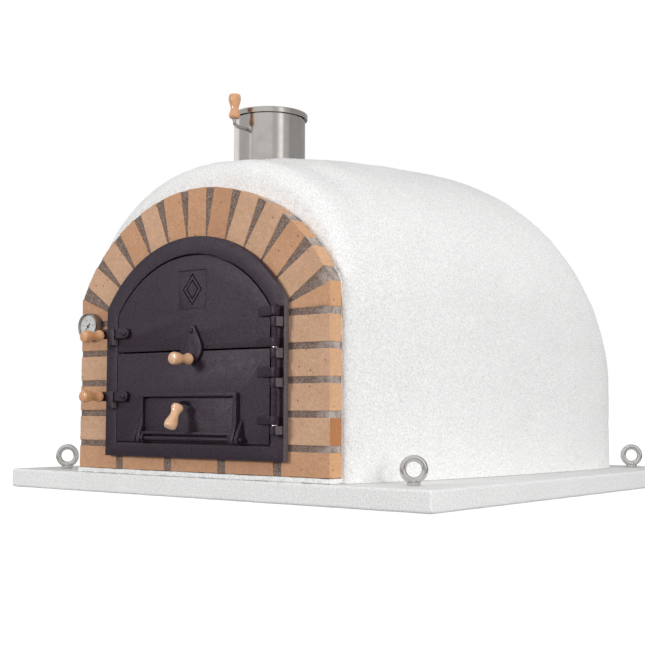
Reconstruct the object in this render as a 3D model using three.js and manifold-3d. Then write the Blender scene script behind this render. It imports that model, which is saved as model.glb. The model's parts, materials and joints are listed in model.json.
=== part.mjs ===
// Wood fired pizza oven: a rendered refractory dome on a square slab, with a brick arch facade,
// a two-leaf cast iron door, a draft flap, a thermometer and a short flue with a damper.
// Millimetres. +X is to the right seen from the front, +Y runs to the back, +Z is up.
// The origin is the centre of the slab's bottom face.
import * as THREE from 'three';
import { mergeVertices } from 'three/addons/utils/BufferGeometryUtils.js';
import Module from 'manifold-3d';

const wasm = await Module();
wasm.setup();

// ---------------------------------------------------------------- driving dimensions
const GAP = 0.3; // clearance between pieces that touch

const SLAB = { side: 1100, thick: 40, corner: 6 };
const FRONT = -SLAB.side / 2; // the slab's front edge; facade depths are measured back from it
const FLOOR = SLAB.thick; // the slab's top; heights of the oven are measured up from it

const DOME = {
  halfWidth: 454, height: 703, start: 40, end: 1066, // outside of the render
  frontNarrow: 0.229, narrowRun: 312, // the plan tapers towards the facade
  frontDip: 0.114, dipRun: 318, // the crown dips towards the facade
  widthEase: 658, widthPower: 5.65, widthRoot: 4.5, // how the plan closes at the back
  crownEase: 563, crownPower: 3.1, crownRoot: 1.34, // how the crown falls at the back
  wallShare: 0.5055, archPower: 2.16, // upright wall, then a superellipse arch
  lipRun: 34, lipWidth: 12, lipHeight: 40, // rounded shoulder behind the facade
};
const LAYER = { shell: 20, blanket: 55, vault: 105, slip: 1.5 };

const FACADE = { halfWidth: 333, bottom: 10, spring: 365, top: 567.6, face: 7, back: 57 };
const BRICK = { length: 110, height: 50, pitch: 62, depth: 43, rows: 5, firstRow: 67 };
const SILL = { widths: [112.5, 119, 125, 119, 112.5], joint: 19.5, height: 45 };
const SPRINGER = { outer: 364.5, inner: 321 }; // sloping top of the uppermost jamb bricks
const ARCH = { count: 11, pitchDeg: 11.08, axisHeight: 200.5, length: 106, width: 48 };
const MORTAR_RECESS = 3;

const FRAME = { halfWidth: 238, bottom: 37, spring: 335, top: 468.5, proud: 14 };
const LEAF = { halfWidth: 204, bottom: 67, spring: 320.6, top: 430.7, thick: 8, gap: 3 };
const SEAM = { height: 245, half: 1.5 }; // level gap between the two leaves
const STOP = { inset: 9, thick: 5.4 };
const SPIGOT = { halfWidth: 221, wall: 8, bottom: 67.6, spring: 336, top: 450, depth: 38 };
const DOOR_FACE = FACADE.face - FRAME.proud; // front of the frame and the leaves

const HINGE = { x: 227, out: 12, rod: 4, bore: 4.3, knuckle: 8.5, armLeft: 176 };
const LEAF_LUGS = { upper: [[302.5, 319.5], [245.6, 262]], lower: [[190.5, 208], [104, 119]] };
const FRAME_LUGS = [[282.5, 300.5], [225, 243], [172, 188.6], [86, 101.5]];

const LATCH = { x: -177, heights: { upper: 285, lower: 157 }, boss: 10.5, tail: -258, gripX: -244,
  sag: { upper: 2.5, lower: 0 }, droopDeg: { upper: 6, lower: 0 } };
const KEEPER = { left: -222, right: -206, deep: 13, below: 24 };
const LEVER = { back: 3, thick: 5 };
const CATCH = { x: 8, pin: 283.5, head: 11, foot: 249, footRadius: 28, gripZ: 228 };
const PLAQUE = { left: -31, right: 42, bottom: 326, top: 402, thick: 1.2 };

const FLAP = { halfWidth: 119.5, bottom: 82, top: 155, face: 3, lipTop: 88, lipOut: 12.5, earWidth: 7 };
const RIM = { inner: 120.5, outer: 128.5, bottom: 84, top: 163, proud: 7 };
const FLAP_PIN = { out: 10, height: 75, radius: 4, halfLength: 147 };
const DRAFT = { halfWidth: 110, bottom: 94, top: 147 };

const GAUGE = { x: -297, z: 303.6, radius: 28.5, depth: 16.5, stem: 3, probe: 125 };
const FLUE = { y: 226.6, outer: 75, inner: 73.5, foot: 577, top: 756.5, rim: 80, rimHeight: 11.5 };
const DAMPER = { height: 712, plate: 70.5, thick: 2.5, rod: 3.5, elbow: 115, gripZ: 727, spare: 12 };
const EYE = { left: 85, right: 91.5, front: 85, back: 84, ring: 19.4, wire: 6.1, centre: 28, shank: 6 };
const EYE_COLLAR = { radius: 12.5, height: 6 };
const EYE_TURN = 38; // degrees that each ring is turned about its shank

// ---------------------------------------------------------------- materials
const finish = (color, roughness, metalness = 0) =>
  new THREE.MeshStandardMaterial({ color, roughness, metalness });
const LOOK = {
  concrete: () => finish(0xe9e8e4, 0.9),
  render: () => finish(0xf1f0ec, 0.92),
  refractory: () => finish(0xc9b79b, 0.95),
  wool: () => finish(0xf4f1e6, 1),
  mortar: () => finish(0x7d7064, 0.95),
  brick: () => finish(0xbd9372, 0.88),
  iron: () => finish(0x413a40, 0.62, 0.35),
  wood: () => finish(0xdeb48c, 0.42),
  steel: () => finish(0xb9bbbd, 0.28, 1),
  dial: () => finish(0xf2f2ef, 0.5),
  black: () => finish(0x111111, 0.5),
  glass: () => finish(0xdfe8ea, 0.05),
};

// ---------------------------------------------------------------- solids and booleans
// Closed solid from a three.js geometry.
function solid(geometry) {
  const bare = geometry.clone();
  for (const name of Object.keys(bare.attributes)) {
    if (name !== 'position') bare.deleteAttribute(name);
  }
  const merged = mergeVertices(bare, 1e-4);
  const mesh = new wasm.Mesh({
    numProp: 3,
    vertProperties: new Float32Array(merged.attributes.position.array),
    triVerts: new Uint32Array(merged.index.array),
  });
  return new wasm.Manifold(mesh);
}

const join = (first, ...rest) => rest.reduce((sum, piece) => sum.add(piece), first);
const cut = (body, ...tools) => tools.reduce((left, tool) => left.subtract(tool), body);

function geometryOf(body) {
  const mesh = body.getMesh();
  const geometry = new THREE.BufferGeometry();
  geometry.setAttribute('position', new THREE.BufferAttribute(new Float32Array(mesh.vertProperties), 3));
  geometry.setIndex(new THREE.BufferAttribute(new Uint32Array(mesh.triVerts), 1));
  geometry.computeVertexNormals();
  return geometry;
}

// ---------------------------------------------------------------- shape helpers
// All helpers take x across, y as the depth behind the slab's front edge, z above the slab's top.
const place = (geometry, x, y, z) => solid(geometry.translate(x, FRONT + y, FLOOR + z));

function box(x0, x1, y0, y1, z0, z1) {
  const geometry = new THREE.BoxGeometry(x1 - x0, y1 - y0, z1 - z0);
  return place(geometry, (x0 + x1) / 2, (y0 + y1) / 2, (z0 + z1) / 2);
}

// Outline drawn in x and z, carried from depth y0 to depth y1.
function slabOf(shape, y0, y1, curveSegments = 12) {
  const depth = y1 - y0;
  const geometry = new THREE.ExtrudeGeometry(shape, { depth, bevelEnabled: false, curveSegments });
  geometry.rotateX(Math.PI / 2);
  return place(geometry, 0, y1, 0);
}

// Outline drawn in y and z, carried from x0 to x1.
function ribOf(points, x0, x1) {
  const shape = new THREE.Shape(points.map(([y, z]) => new THREE.Vector2(y, z)));
  const geometry = new THREE.ExtrudeGeometry(shape, { depth: x1 - x0, bevelEnabled: false });
  geometry.rotateX(Math.PI / 2);
  geometry.rotateZ(Math.PI / 2);
  return place(geometry, x0, 0, 0);
}

// Outline drawn in x and y, carried from z0 to z1.
function layerOf(points, z0, z1) {
  const shape = new THREE.Shape(points.map(([x, y]) => new THREE.Vector2(x, y)));
  const geometry = new THREE.ExtrudeGeometry(shape, { depth: z1 - z0, bevelEnabled: false });
  return place(geometry, 0, 0, z0);
}

function rodZ(x, y, z0, z1, radius, sides = 16) {
  const geometry = new THREE.CylinderGeometry(radius, radius, z1 - z0, sides);
  return place(geometry.rotateX(Math.PI / 2), x, y, (z0 + z1) / 2);
}

function rodY(x, z, y0, y1, radius, sides = 16) {
  return place(new THREE.CylinderGeometry(radius, radius, y1 - y0, sides), x, (y0 + y1) / 2, z);
}

function rodX(y, z, x0, x1, radius, sides = 16) {
  const geometry = new THREE.CylinderGeometry(radius, radius, x1 - x0, sides);
  return place(geometry.rotateZ(Math.PI / 2), (x0 + x1) / 2, y, z);
}

// Upright jambs under a circular arc.
function archShape({ halfWidth, bottom, spring, top }) {
  const rise = top - spring;
  const radius = (halfWidth ** 2 + rise ** 2) / (2 * rise);
  const centre = top - radius;
  const start = Math.asin((spring - centre) / radius);
  const shape = new THREE.Shape();
  shape.moveTo(-halfWidth, bottom);
  shape.lineTo(halfWidth, bottom);
  shape.lineTo(halfWidth, spring);
  shape.absarc(0, centre, radius, start, Math.PI - start, false);
  shape.lineTo(-halfWidth, bottom);
  return shape;
}

const grown = (outline, by) => ({
  halfWidth: outline.halfWidth + by,
  bottom: outline.bottom - by,
  spring: outline.spring,
  top: outline.top + by,
});

// ---------------------------------------------------------------- the dome's layers
// Half width and crown height of the layer that lies `inset` inside the render, at a given depth.
function section(depth, inset) {
  const end = DOME.end - inset;
  const run = depth - DOME.start - inset;
  const side = THREE.MathUtils.clamp((depth - DOME.widthEase) / (end - DOME.widthEase), 0, 1);
  const crown = THREE.MathUtils.clamp((depth - DOME.crownEase) / (end - DOME.crownEase), 0, 1);
  const lip = Math.max(0, 1 - run / DOME.lipRun);
  const shoulder = 1 - Math.sqrt(1 - lip ** 2);
  const taper = 1 - DOME.frontNarrow * Math.exp(-run / DOME.narrowRun);
  const dip = 1 - DOME.frontDip * Math.exp(-run / DOME.dipRun);
  const closeSide = (1 - side ** DOME.widthPower) ** (1 / DOME.widthRoot);
  const closeCrown = (1 - crown ** DOME.crownPower) ** (1 / DOME.crownRoot);
  return {
    width: (DOME.halfWidth - inset) * taper * closeSide - DOME.lipWidth * shoulder,
    height: (DOME.height - inset) * dip * closeCrown - DOME.lipHeight * shoulder,
  };
}

// One closed cross-section: upright walls, then a superellipse arch, from right to left.
function sectionPoints({ width, height }, base, arcSteps) {
  const points = [[width, base]];
  const wall = DOME.wallShare * height;
  for (let i = 0; i <= arcSteps; i += 1) {
    const angle = (Math.PI * i) / arcSteps;
    const c = Math.cos(angle);
    const s = Math.sin(angle);
    const r = (Math.abs(c) ** DOME.archPower + Math.abs(s) ** DOME.archPower) ** (-1 / DOME.archPower);
    points.push([width * r * c, wall + (height - wall) * r * s]);
  }
  points.push([-width, base]);
  return points;
}

// Solid hump whose surface lies `inset` inside the render, standing on height `base`.
function hump(inset, base, stations, arcSteps) {
  const start = DOME.start + inset;
  const end = DOME.end - inset;
  const rings = [];
  for (let j = 0; j <= stations; j += 1) {
    const t = j / stations;
    const eased = t < 0.5 ? t : 0.5 + 0.4985 * Math.sin(((t - 0.5) / 0.5) * (Math.PI / 2));
    const depth = start + (end - start) * (j < 4 ? eased * 0.6 * (1 + t) : eased);
    rings.push({ depth, points: sectionPoints(section(depth, inset), base, arcSteps) });
  }
  const count = rings[0].points.length;
  const positions = rings.flatMap((ring) =>
    ring.points.flatMap(([x, z]) => [x, FRONT + ring.depth, FLOOR + z]));
  const index = [];
  for (let j = 0; j < stations; j += 1) {
    for (let i = 0; i < count; i += 1) {
      const a = j * count + i;
      const b = j * count + ((i + 1) % count);
      index.push(a, a + count, b, b, a + count, b + count);
    }
  }
  const last = stations * count;
  for (let i = 1; i < count - 1; i += 1) {
    index.push(0, i, i + 1);
    index.push(last, last + i + 1, last + i);
  }
  const geometry = new THREE.BufferGeometry();
  geometry.setAttribute('position', new THREE.Float32BufferAttribute(positions, 3));
  geometry.setIndex(index);
  return solid(geometry);
}

const STATIONS = { fine: 18, coarse: 12 };
const ARC_STEPS = { fine: 22, coarse: 14 };
const layer = (inset, base) => hump(inset, base, STATIONS.coarse, ARC_STEPS.coarse);
const BELOW = -10; // a depth under the slab's top that a through cut starts from

const flueBore = () => rodZ(0, FLUE.y, FLUE.foot - GAP, 900, FLUE.outer + 0.8, 32);
const probeBore = () => rodY(GAUGE.x, GAUGE.z, 0, GAUGE.probe + 1, GAUGE.stem + 0.5, 12);
const MOUTH = { halfWidth: 205, bottom: BELOW, spring: 320, top: 431 };
const THROAT = { halfWidth: 240, bottom: GAP, spring: 335, top: 466 };
const THROAT_FRONT = FACADE.back + 0.5;

function outerShell() {
  const outside = hump(0, GAP, STATIONS.fine, ARC_STEPS.fine);
  const room = { ...grown(FACADE, 1), bottom: FACADE.bottom - GAP };
  const roomBack = DOME.start + LAYER.shell + 2;
  const body = cut(outside, layer(LAYER.shell, BELOW), slabOf(archShape(room), -20, roomBack, 24));
  const bed = box(-340, 340, 0, FACADE.back, GAP, FACADE.bottom - GAP);
  const behindBed = box(-320, 320, FACADE.back, roomBack, BELOW, FACADE.bottom);
  return cut(join(body, bed), behindBed, flueBore());
}

function insulationBlanket() {
  const body = cut(layer(LAYER.shell + LAYER.slip, GAP), layer(LAYER.blanket, BELOW));
  const throat = slabOf(archShape({ ...grown(THROAT, 0.6), bottom: BELOW }), 0, 200, 12);
  return cut(body, throat, flueBore(), probeBore());
}

function innerVault() {
  const body = cut(layer(LAYER.blanket + LAYER.slip, GAP), layer(LAYER.vault, BELOW));
  const throat = slabOf(archShape(THROAT), THROAT_FRONT, DOME.start + LAYER.vault + 1, 12);
  const mouth = slabOf(archShape(MOUTH), 0, 240, 12);
  const duct = rodZ(0, FLUE.y, 400, 900, FLUE.inner - 4, 24);
  return cut(join(body, throat), mouth, flueBore(), duct, probeBore());
}

// Floor layer inside the vault with a tongue that runs out through the throat.
function floorLayer(z0, z1) {
  const inside = layer(LAYER.vault + LAYER.slip, z0);
  const level = box(-500, 500, 0, 1100, z0, z1);
  const tongue = box(-MOUTH.halfWidth + 0.5, MOUTH.halfWidth - 0.5, THROAT_FRONT, 165, z0, z1);
  return join(inside.intersect(level), tongue);
}

// ---------------------------------------------------------------- facade
const FACADE_RISE = FACADE.top - FACADE.spring;
const FACADE_RADIUS = (FACADE.halfWidth ** 2 + FACADE_RISE ** 2) / (2 * FACADE_RISE);
const FACADE_CENTRE = FACADE.top - FACADE_RADIUS;

// Every brick of the facade: its name, centre, face size and turn in the facade's plane.
function brickList() {
  const bricks = [];
  let left = -FACADE.halfWidth;
  SILL.widths.forEach((width, i) => {
    bricks.push({ name: `sill_brick_${i + 1}`, x: left + width / 2, z: FACADE.bottom + SILL.height / 2,
      width, height: SILL.height, turn: 0 });
    left += width + SILL.joint;
  });
  for (const [side, sign] of [['left', -1], ['right', 1]]) {
    for (let row = 0; row < BRICK.rows; row += 1) {
      bricks.push({ name: `${side}_jamb_brick_${row + 1}`, x: sign * (FACADE.halfWidth - BRICK.length / 2),
        z: BRICK.firstRow + row * BRICK.pitch + BRICK.height / 2, width: BRICK.length,
        height: BRICK.height, turn: 0, springer: row === BRICK.rows - 1 ? sign : 0 });
    }
  }
  const rise = ARCH.axisHeight - FACADE_CENTRE;
  for (let k = 0; k < ARCH.count; k += 1) {
    const angle = THREE.MathUtils.degToRad(90 + ((ARCH.count - 1) / 2 - k) * ARCH.pitchDeg);
    const middle = FACADE_RADIUS - 1.2 - rise * Math.sin(angle) - ARCH.length / 2;
    bricks.push({ name: `arch_brick_${k + 1}`, x: middle * Math.cos(angle),
      z: ARCH.axisHeight + middle * Math.sin(angle), width: ARCH.length, height: ARCH.width, turn: angle });
  }
  return bricks;
}

// The uppermost jamb brick, cut to a slope where the arch springs.
function springerSolid(sign, extra, y0, y1) {
  const inner = sign * (FACADE.halfWidth - BRICK.length - extra);
  const outer = sign * (FACADE.halfWidth + extra);
  const foot = BRICK.firstRow + (BRICK.rows - 1) * BRICK.pitch - extra;
  const corners = [[inner, foot], [outer, foot], [outer, SPRINGER.outer + extra],
    [inner, SPRINGER.inner + extra]];
  const shape = new THREE.Shape(corners.map(([x, z]) => new THREE.Vector2(x, z)));
  return slabOf(shape, y0, y1);
}

// A brick's solid, `extra` larger all round; a cutter also reaches out past the face.
function brickSolid(brick, extra, face) {
  const depth = BRICK.depth + FACADE.face - face + extra;
  if (brick.springer) return springerSolid(brick.springer, extra, face, face + depth);
  const geometry = new THREE.BoxGeometry(brick.width + 2 * extra, depth, brick.height + 2 * extra);
  geometry.rotateY(-brick.turn);
  return place(geometry, brick.x, face + depth / 2, brick.z);
}

function facadeMortar(bricks) {
  const outline = { ...grown(FACADE, -1.5), bottom: FACADE.bottom };
  const inner = { halfWidth: 223, bottom: LEAF.bottom, spring: 338, top: 452 };
  const body = slabOf(archShape(outline), FACADE.face + MORTAR_RECESS, FACADE.back, 24);
  const opening = slabOf(archShape(inner), -20, 100, 12);
  const pockets = bricks.map((brick) => brickSolid(brick, GAP, -20));
  return cut(body, opening, ...pockets, probeBore());
}

// ---------------------------------------------------------------- door frame and leaves
const HINGE_Y = DOOR_FACE - HINGE.out;

function doorFrame() {
  const front = slabOf(archShape(FRAME), DOOR_FACE, FACADE.face - GAP, 16);
  const room = slabOf(archShape(grown(LEAF, LEAF.gap)), -30, DOOR_FACE + LEAF.thick + GAP, 16);
  const stopRing = slabOf(archShape(grown(LEAF, -STOP.inset)), -30, 60, 12);
  const spigot = slabOf(archShape(SPIGOT), FACADE.face - STOP.thick, FACADE.face + SPIGOT.depth, 12);
  const spigotBore = slabOf(archShape(grown(SPIGOT, -SPIGOT.wall)), FACADE.face, 100, 12);
  let body = cut(join(front, spigot), room, stopRing, spigotBore);
  for (const height of Object.values(LATCH.heights)) {
    body = join(body, box(KEEPER.left, KEEPER.right, DOOR_FACE - KEEPER.deep, DOOR_FACE + 2,
      height - KEEPER.below, height - LATCH.boss - 0.5));
  }
  for (const [z0, z1] of FRAME_LUGS) {
    body = join(body, rodZ(HINGE.x, HINGE_Y, z0, z1, HINGE.knuckle, 12));
    body = join(body, box(HINGE.x - 6, FRAME.halfWidth - 0.5, HINGE_Y, DOOR_FACE + 2, z0, z1));
  }
  return cut(body, rodZ(HINGE.x, HINGE_Y, 60, 340, HINGE.bore, 12));
}

// Flat bar that carries a leaf from its face out to a knuckle on the hinge rod.
function leafLug(z0, z1) {
  const out = HINGE_Y;
  const arm = layerOf([
    [HINGE.armLeft, DOOR_FACE + 0.5], [HINGE.armLeft, DOOR_FACE - 2.5], [HINGE.x - 14, out - 3],
    [HINGE.x, out - HINGE.knuckle], [HINGE.x, out + HINGE.knuckle], [HINGE.x - 14, DOOR_FACE - 1.5],
    [LEAF.halfWidth - 1, DOOR_FACE - 1.5], [LEAF.halfWidth - 2, DOOR_FACE + 0.5],
  ].reverse(), z0, z1);
  return join(arm, rodZ(HINGE.x, out, z0, z1, HINGE.knuckle, 12));
}

const leafPlate = () => slabOf(archShape(LEAF), DOOR_FACE, DOOR_FACE + LEAF.thick, 16);
const hingeBore = () => rodZ(HINGE.x, HINGE_Y, 60, 340, HINGE.bore, 12);
const pinHole = (x, z, radius) => rodY(x, z, -40, 20, radius, 14);
const PIN = { radius: 4, head: 5.5, hole: 4.3 };

function upperLeaf() {
  const upper = box(-300, 300, -40, 40, SEAM.height + SEAM.half, 600);
  const plaque = box(PLAQUE.left, PLAQUE.right, DOOR_FACE - PLAQUE.thick, DOOR_FACE + 1,
    PLAQUE.bottom, PLAQUE.top);
  const lugs = LEAF_LUGS.upper.map(([z0, z1]) => leafLug(z0, z1));
  const body = join(leafPlate().intersect(upper), plaque, ...lugs);
  return cut(body, hingeBore(), pinHole(LATCH.x, LATCH.heights.upper, PIN.hole),
    pinHole(CATCH.x, CATCH.pin, PIN.hole));
}

// Upright web beside the draft opening that carries the flap's pin; it starts `proud` out of the leaf.
const PIN_WEB = { foot: 68, nose: 78, reach: 7 };
function pinWeb(x0, x1, proud, top) {
  const tip = DOOR_FACE - FLAP_PIN.out - PIN_WEB.reach;
  return ribOf([[DOOR_FACE + 1, PIN_WEB.foot], [tip, PIN_WEB.foot], [tip, PIN_WEB.nose],
    [DOOR_FACE - proud, top], [DOOR_FACE + 1, top]], x0, x1);
}

function lowerLeaf() {
  const lower = box(-300, 300, -40, 40, 0, SEAM.height - SEAM.half);
  const rimFace = DOOR_FACE - RIM.proud;
  const rim = cut(box(-RIM.outer, RIM.outer, rimFace, DOOR_FACE + 1, RIM.bottom, RIM.top),
    box(-RIM.inner, RIM.inner, -40, DOOR_FACE, 60, FLAP.top + 1));
  const draft = box(-DRAFT.halfWidth, DRAFT.halfWidth, -40, 40, DRAFT.bottom, DRAFT.top);
  const lugs = LEAF_LUGS.lower.map(([z0, z1]) => leafLug(z0, z1));
  const webs = [pinWeb(132, 140, 1, 112), pinWeb(-140, -132, 1, 112),
    pinWeb(RIM.inner, RIM.outer, RIM.proud, 102), pinWeb(-RIM.outer, -RIM.inner, RIM.proud, 102)];
  const body = join(leafPlate().intersect(lower), rim, ...webs, ...lugs);
  const pinBore = rodX(DOOR_FACE - FLAP_PIN.out, FLAP_PIN.height, -200, 200, FLAP_PIN.radius + GAP, 14);
  return cut(body, draft, hingeBore(), pinBore, pinHole(LATCH.x, LATCH.heights.lower, PIN.hole));
}

// One rod through all the knuckles, with a head and two spacer collars.
function hingePin() {
  const rod = rodZ(HINGE.x, HINGE_Y, 83, 322, HINGE.rod, 12);
  const head = rodZ(HINGE.x, HINGE_Y, 320, 323, 6, 12);
  const collars = [[243.5, 245.1], [102, 103.5]].map(([z0, z1]) => rodZ(HINGE.x, HINGE_Y, z0, z1, 6.2, 12));
  return join(rod, head, ...collars);
}

// ---------------------------------------------------------------- latches, catch and draft flap
// Outline of a bar hanging between two round ends of different size.
function stadium(x0, z0, r0, x1, z1, r1) {
  const turn = Math.atan2(z1 - z0, x1 - x0);
  const lean = Math.acos((r0 - r1) / Math.hypot(x1 - x0, z1 - z0));
  const shape = new THREE.Shape();
  shape.absarc(x0, z0, r0, turn + lean, turn - lean + 2 * Math.PI, false);
  shape.absarc(x1, z1, r1, turn - lean, turn + lean, false);
  return shape;
}

const LEVER_Y = DOOR_FACE - LEVER.back - LEVER.thick;
const STUD = { radius: 3, length: 36 };

// Where a latch's grip starts and which way it points: the upper one hangs a little.
function latchGripFrame(leaf) {
  const droop = THREE.MathUtils.degToRad(LATCH.droopDeg[leaf]);
  const direction = new THREE.Vector3(0, -Math.cos(droop), -Math.sin(droop));
  const clear = GAP + 9 * Math.sin(droop);
  const base = at(LATCH.gripX, LEVER_Y - clear, LATCH.heights[leaf] - LATCH.sag[leaf]);
  return { base, direction, clear };
}

function latchLever(leaf) {
  const z = LATCH.heights[leaf];
  const bar = slabOf(stadium(LATCH.x, z, LATCH.boss, LATCH.tail + 10, z, 10), LEVER_Y,
    DOOR_FACE - LEVER.back, 8);
  const washer = rodY(LATCH.x, z, DOOR_FACE - LEVER.back - 1, DOOR_FACE - GAP, 7, 14);
  const { base, direction, clear } = latchGripFrame(leaf);
  const along = (distance) => base.clone().addScaledVector(direction, distance);
  const stud = bentRod([along(-clear - 1), along(STUD.length / 2), along(STUD.length)], STUD.radius, 2);
  return cut(join(bar, washer, stud), pinHole(LATCH.x, z, PIN.hole));
}

// Rivet from behind the leaf, through it, with a round head in front of the piece that turns on it.
function pivotPin(x, z, front) {
  const shank = rodY(x, z, front - 2, DOOR_FACE + LEAF.thick - 1, PIN.radius, 14);
  return join(shank, rodY(x, z, front - 3.5, front - GAP, PIN.head, 14));
}

const CATCH_FRONT = DOOR_FACE - 6;

function catchPlate() {
  const outline = stadium(CATCH.x, CATCH.pin, CATCH.head, CATCH.x, CATCH.foot, CATCH.footRadius);
  const plate = slabOf(outline, CATCH_FRONT, DOOR_FACE - 1, 12);
  const stud = rodY(CATCH.x, CATCH.gripZ, CATCH_FRONT - STUD.length, CATCH_FRONT + 1, STUD.radius, 12);
  return cut(join(plate, stud), pinHole(CATCH.x, CATCH.pin, PIN.hole));
}

// Turned wooden grip along +Y from its base: a small bead, a waist and a long swell.
const GRIP = { length: 51, bore: 3.7, boreDepth: 38 };
const GRIP_PROFILE = [[0, 8], [2, 10.6], [6, 11.8], [11, 11], [17, 8.6], [23, 8.6], [32, 11.2],
  [40, 12.7], [45, 12.6], [49, 11], [51, 8.6]];

function gripGeometry() {
  const outline = [[0, GRIP.boreDepth], [GRIP.bore, GRIP.boreDepth], [GRIP.bore, 0]];
  for (const [along, radius] of GRIP_PROFILE) outline.push([radius, along]);
  outline.push([0, GRIP.length]);
  return new THREE.LatheGeometry(outline.map(([r, y]) => new THREE.Vector2(r, y)), 12);
}

function draftFlap() {
  const back = DOOR_FACE - GAP;
  const face = DOOR_FACE - FLAP.face;
  const axisY = DOOR_FACE - FLAP_PIN.out;
  const lipFront = DOOR_FACE - FLAP.lipOut;
  const plate = box(-FLAP.halfWidth, FLAP.halfWidth, face, back, FLAP.bottom, FLAP.top);
  const lip = box(-FLAP.halfWidth, FLAP.halfWidth, lipFront, face + 1, FLAP.bottom, FLAP.lipTop);
  const ears = [-1, 1].map((sign) => {
    const ends = [sign * (FLAP.halfWidth - FLAP.earWidth), sign * FLAP.halfWidth];
    const [x0, x1] = [Math.min(...ends), Math.max(...ends)];
    return join(box(x0, x1, axisY - 4, axisY + 4, FLAP_PIN.height, FLAP.bottom + 1),
      rodX(axisY, FLAP_PIN.height, x0, x1, 6.8, 16));
  });
  const pinBore = rodX(axisY, FLAP_PIN.height, -200, 200, FLAP_PIN.radius + GAP, 14);
  return cut(join(plate, lip, flapRod(), ...ears), pinBore);
}

// Knob rod of the flap: straight out of the plate, then bent down into the grip.
const FLAP_KNOB = { x: -2, z: 144, out: 24, radius: 3.2, tiltDeg: 28 };

function bentRod(points, radius, steps) {
  const path = new THREE.CatmullRomCurve3(points, false, 'catmullrom', 0.35);
  const round = new THREE.Shape().absarc(0, 0, radius, 0, Math.PI * 2, false);
  return solid(new THREE.ExtrudeGeometry(round, { extrudePath: path, steps, curveSegments: 4 }));
}

const at = (x, y, z) => new THREE.Vector3(x, FRONT + y, FLOOR + z);

function flapGripFrame() {
  const tilt = THREE.MathUtils.degToRad(FLAP_KNOB.tiltDeg);
  const direction = new THREE.Vector3(0, -Math.sin(tilt), -Math.cos(tilt));
  const base = at(FLAP_KNOB.x, DOOR_FACE - FLAP.face - FLAP_KNOB.out, FLAP_KNOB.z - 4);
  return { base, direction };
}

function flapRod() {
  const { base, direction } = flapGripFrame();
  const face = DOOR_FACE - FLAP.face;
  const along = (distance) => base.clone().addScaledVector(direction, distance);
  return bentRod([at(FLAP_KNOB.x, face + 2, FLAP_KNOB.z), at(FLAP_KNOB.x, face - 12, FLAP_KNOB.z + 0.5),
    at(FLAP_KNOB.x, face - 20, FLAP_KNOB.z - 0.5), along(2), along(14), along(34)], FLAP_KNOB.radius, 10);
}

// ---------------------------------------------------------------- thermometer
function gaugeCase() {
  const front = FACADE.face - GAUGE.depth - 2;
  const shell = rodY(GAUGE.x, GAUGE.z, front, FACADE.face - GAP, GAUGE.radius, 28);
  const well = rodY(GAUGE.x, GAUGE.z, front - 5, front + 7, GAUGE.radius - 3, 28);
  const probe = rodY(GAUGE.x, GAUGE.z, FACADE.face - 2, GAUGE.probe, GAUGE.stem, 12);
  return join(cut(shell, well), probe);
}

const GAUGE_FRONT = FACADE.face - GAUGE.depth - 2;
const gaugeDial = () => cut(
  rodY(GAUGE.x, GAUGE.z, GAUGE_FRONT + 5.5, GAUGE_FRONT + 6.7, GAUGE.radius - 3.4, 24),
  rodY(GAUGE.x, GAUGE.z, -40, 40, 1.6, 12));
const gaugeGlass = () => rodY(GAUGE.x, GAUGE.z, GAUGE_FRONT + 0.5, GAUGE_FRONT + 2.2, GAUGE.radius - 3.4, 24);

// Pointer resting at the cold end of the scale, down and to the left.
function gaugeNeedle() {
  const hub = rodY(GAUGE.x, GAUGE.z, GAUGE_FRONT + 3.4, GAUGE_FRONT + 6.6, 1.3, 12);
  const disc = rodY(GAUGE.x, GAUGE.z, GAUGE_FRONT + 3.4, GAUGE_FRONT + 4.8, 3, 14);
  const blade = new THREE.Shape([[-9, -1.2], [-9, 1.2], [19, 0.5], [19, -0.5]]
    .map(([x, z]) => new THREE.Vector2(x, z)).reverse());
  const geometry = new THREE.ExtrudeGeometry(blade, { depth: 0.8, bevelEnabled: false });
  geometry.rotateX(Math.PI / 2);
  geometry.rotateY(THREE.MathUtils.degToRad(-225));
  return join(hub, disc, place(geometry, GAUGE.x, GAUGE_FRONT + 4.6, GAUGE.z));
}

// ---------------------------------------------------------------- flue, damper and eye bolts
function fluePipe() {
  const rimFoot = FLUE.top - FLUE.rimHeight;
  const profile = [[FLUE.inner, FLUE.foot], [FLUE.outer, FLUE.foot], [FLUE.outer, rimFoot],
    [FLUE.rim, rimFoot], [FLUE.rim, FLUE.top], [FLUE.inner, FLUE.top], [FLUE.inner, FLUE.foot]];
  const geometry = new THREE.LatheGeometry(profile.map(([r, z]) => new THREE.Vector2(r, z)), 32);
  const tube = place(geometry.rotateX(Math.PI / 2), 0, FLUE.y, 0);
  const bore = rodY(0, DAMPER.height, FLUE.y - 100, FLUE.y + 100, DAMPER.rod + 0.4, 14);
  return cut(tube, bore);
}

function damper() {
  const plate = rodZ(0, FLUE.y, DAMPER.height - DAMPER.thick / 2, DAMPER.height + DAMPER.thick / 2,
    DAMPER.plate, 28);
  const front = FLUE.y - FLUE.outer - DAMPER.spare;
  const spindle = rodY(0, DAMPER.height, front, FLUE.y + FLUE.outer + 6, DAMPER.rod, 14);
  const crank = bentRod([at(0, front + 4, DAMPER.height), at(0, DAMPER.elbow + DAMPER.spare, DAMPER.height),
    at(0, DAMPER.elbow + 2, DAMPER.height + 3), at(0, DAMPER.elbow, DAMPER.height + 12),
    at(0, DAMPER.elbow, DAMPER.gripZ + 34)], DAMPER.rod, 12);
  return join(plate, spindle, crank);
}

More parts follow.
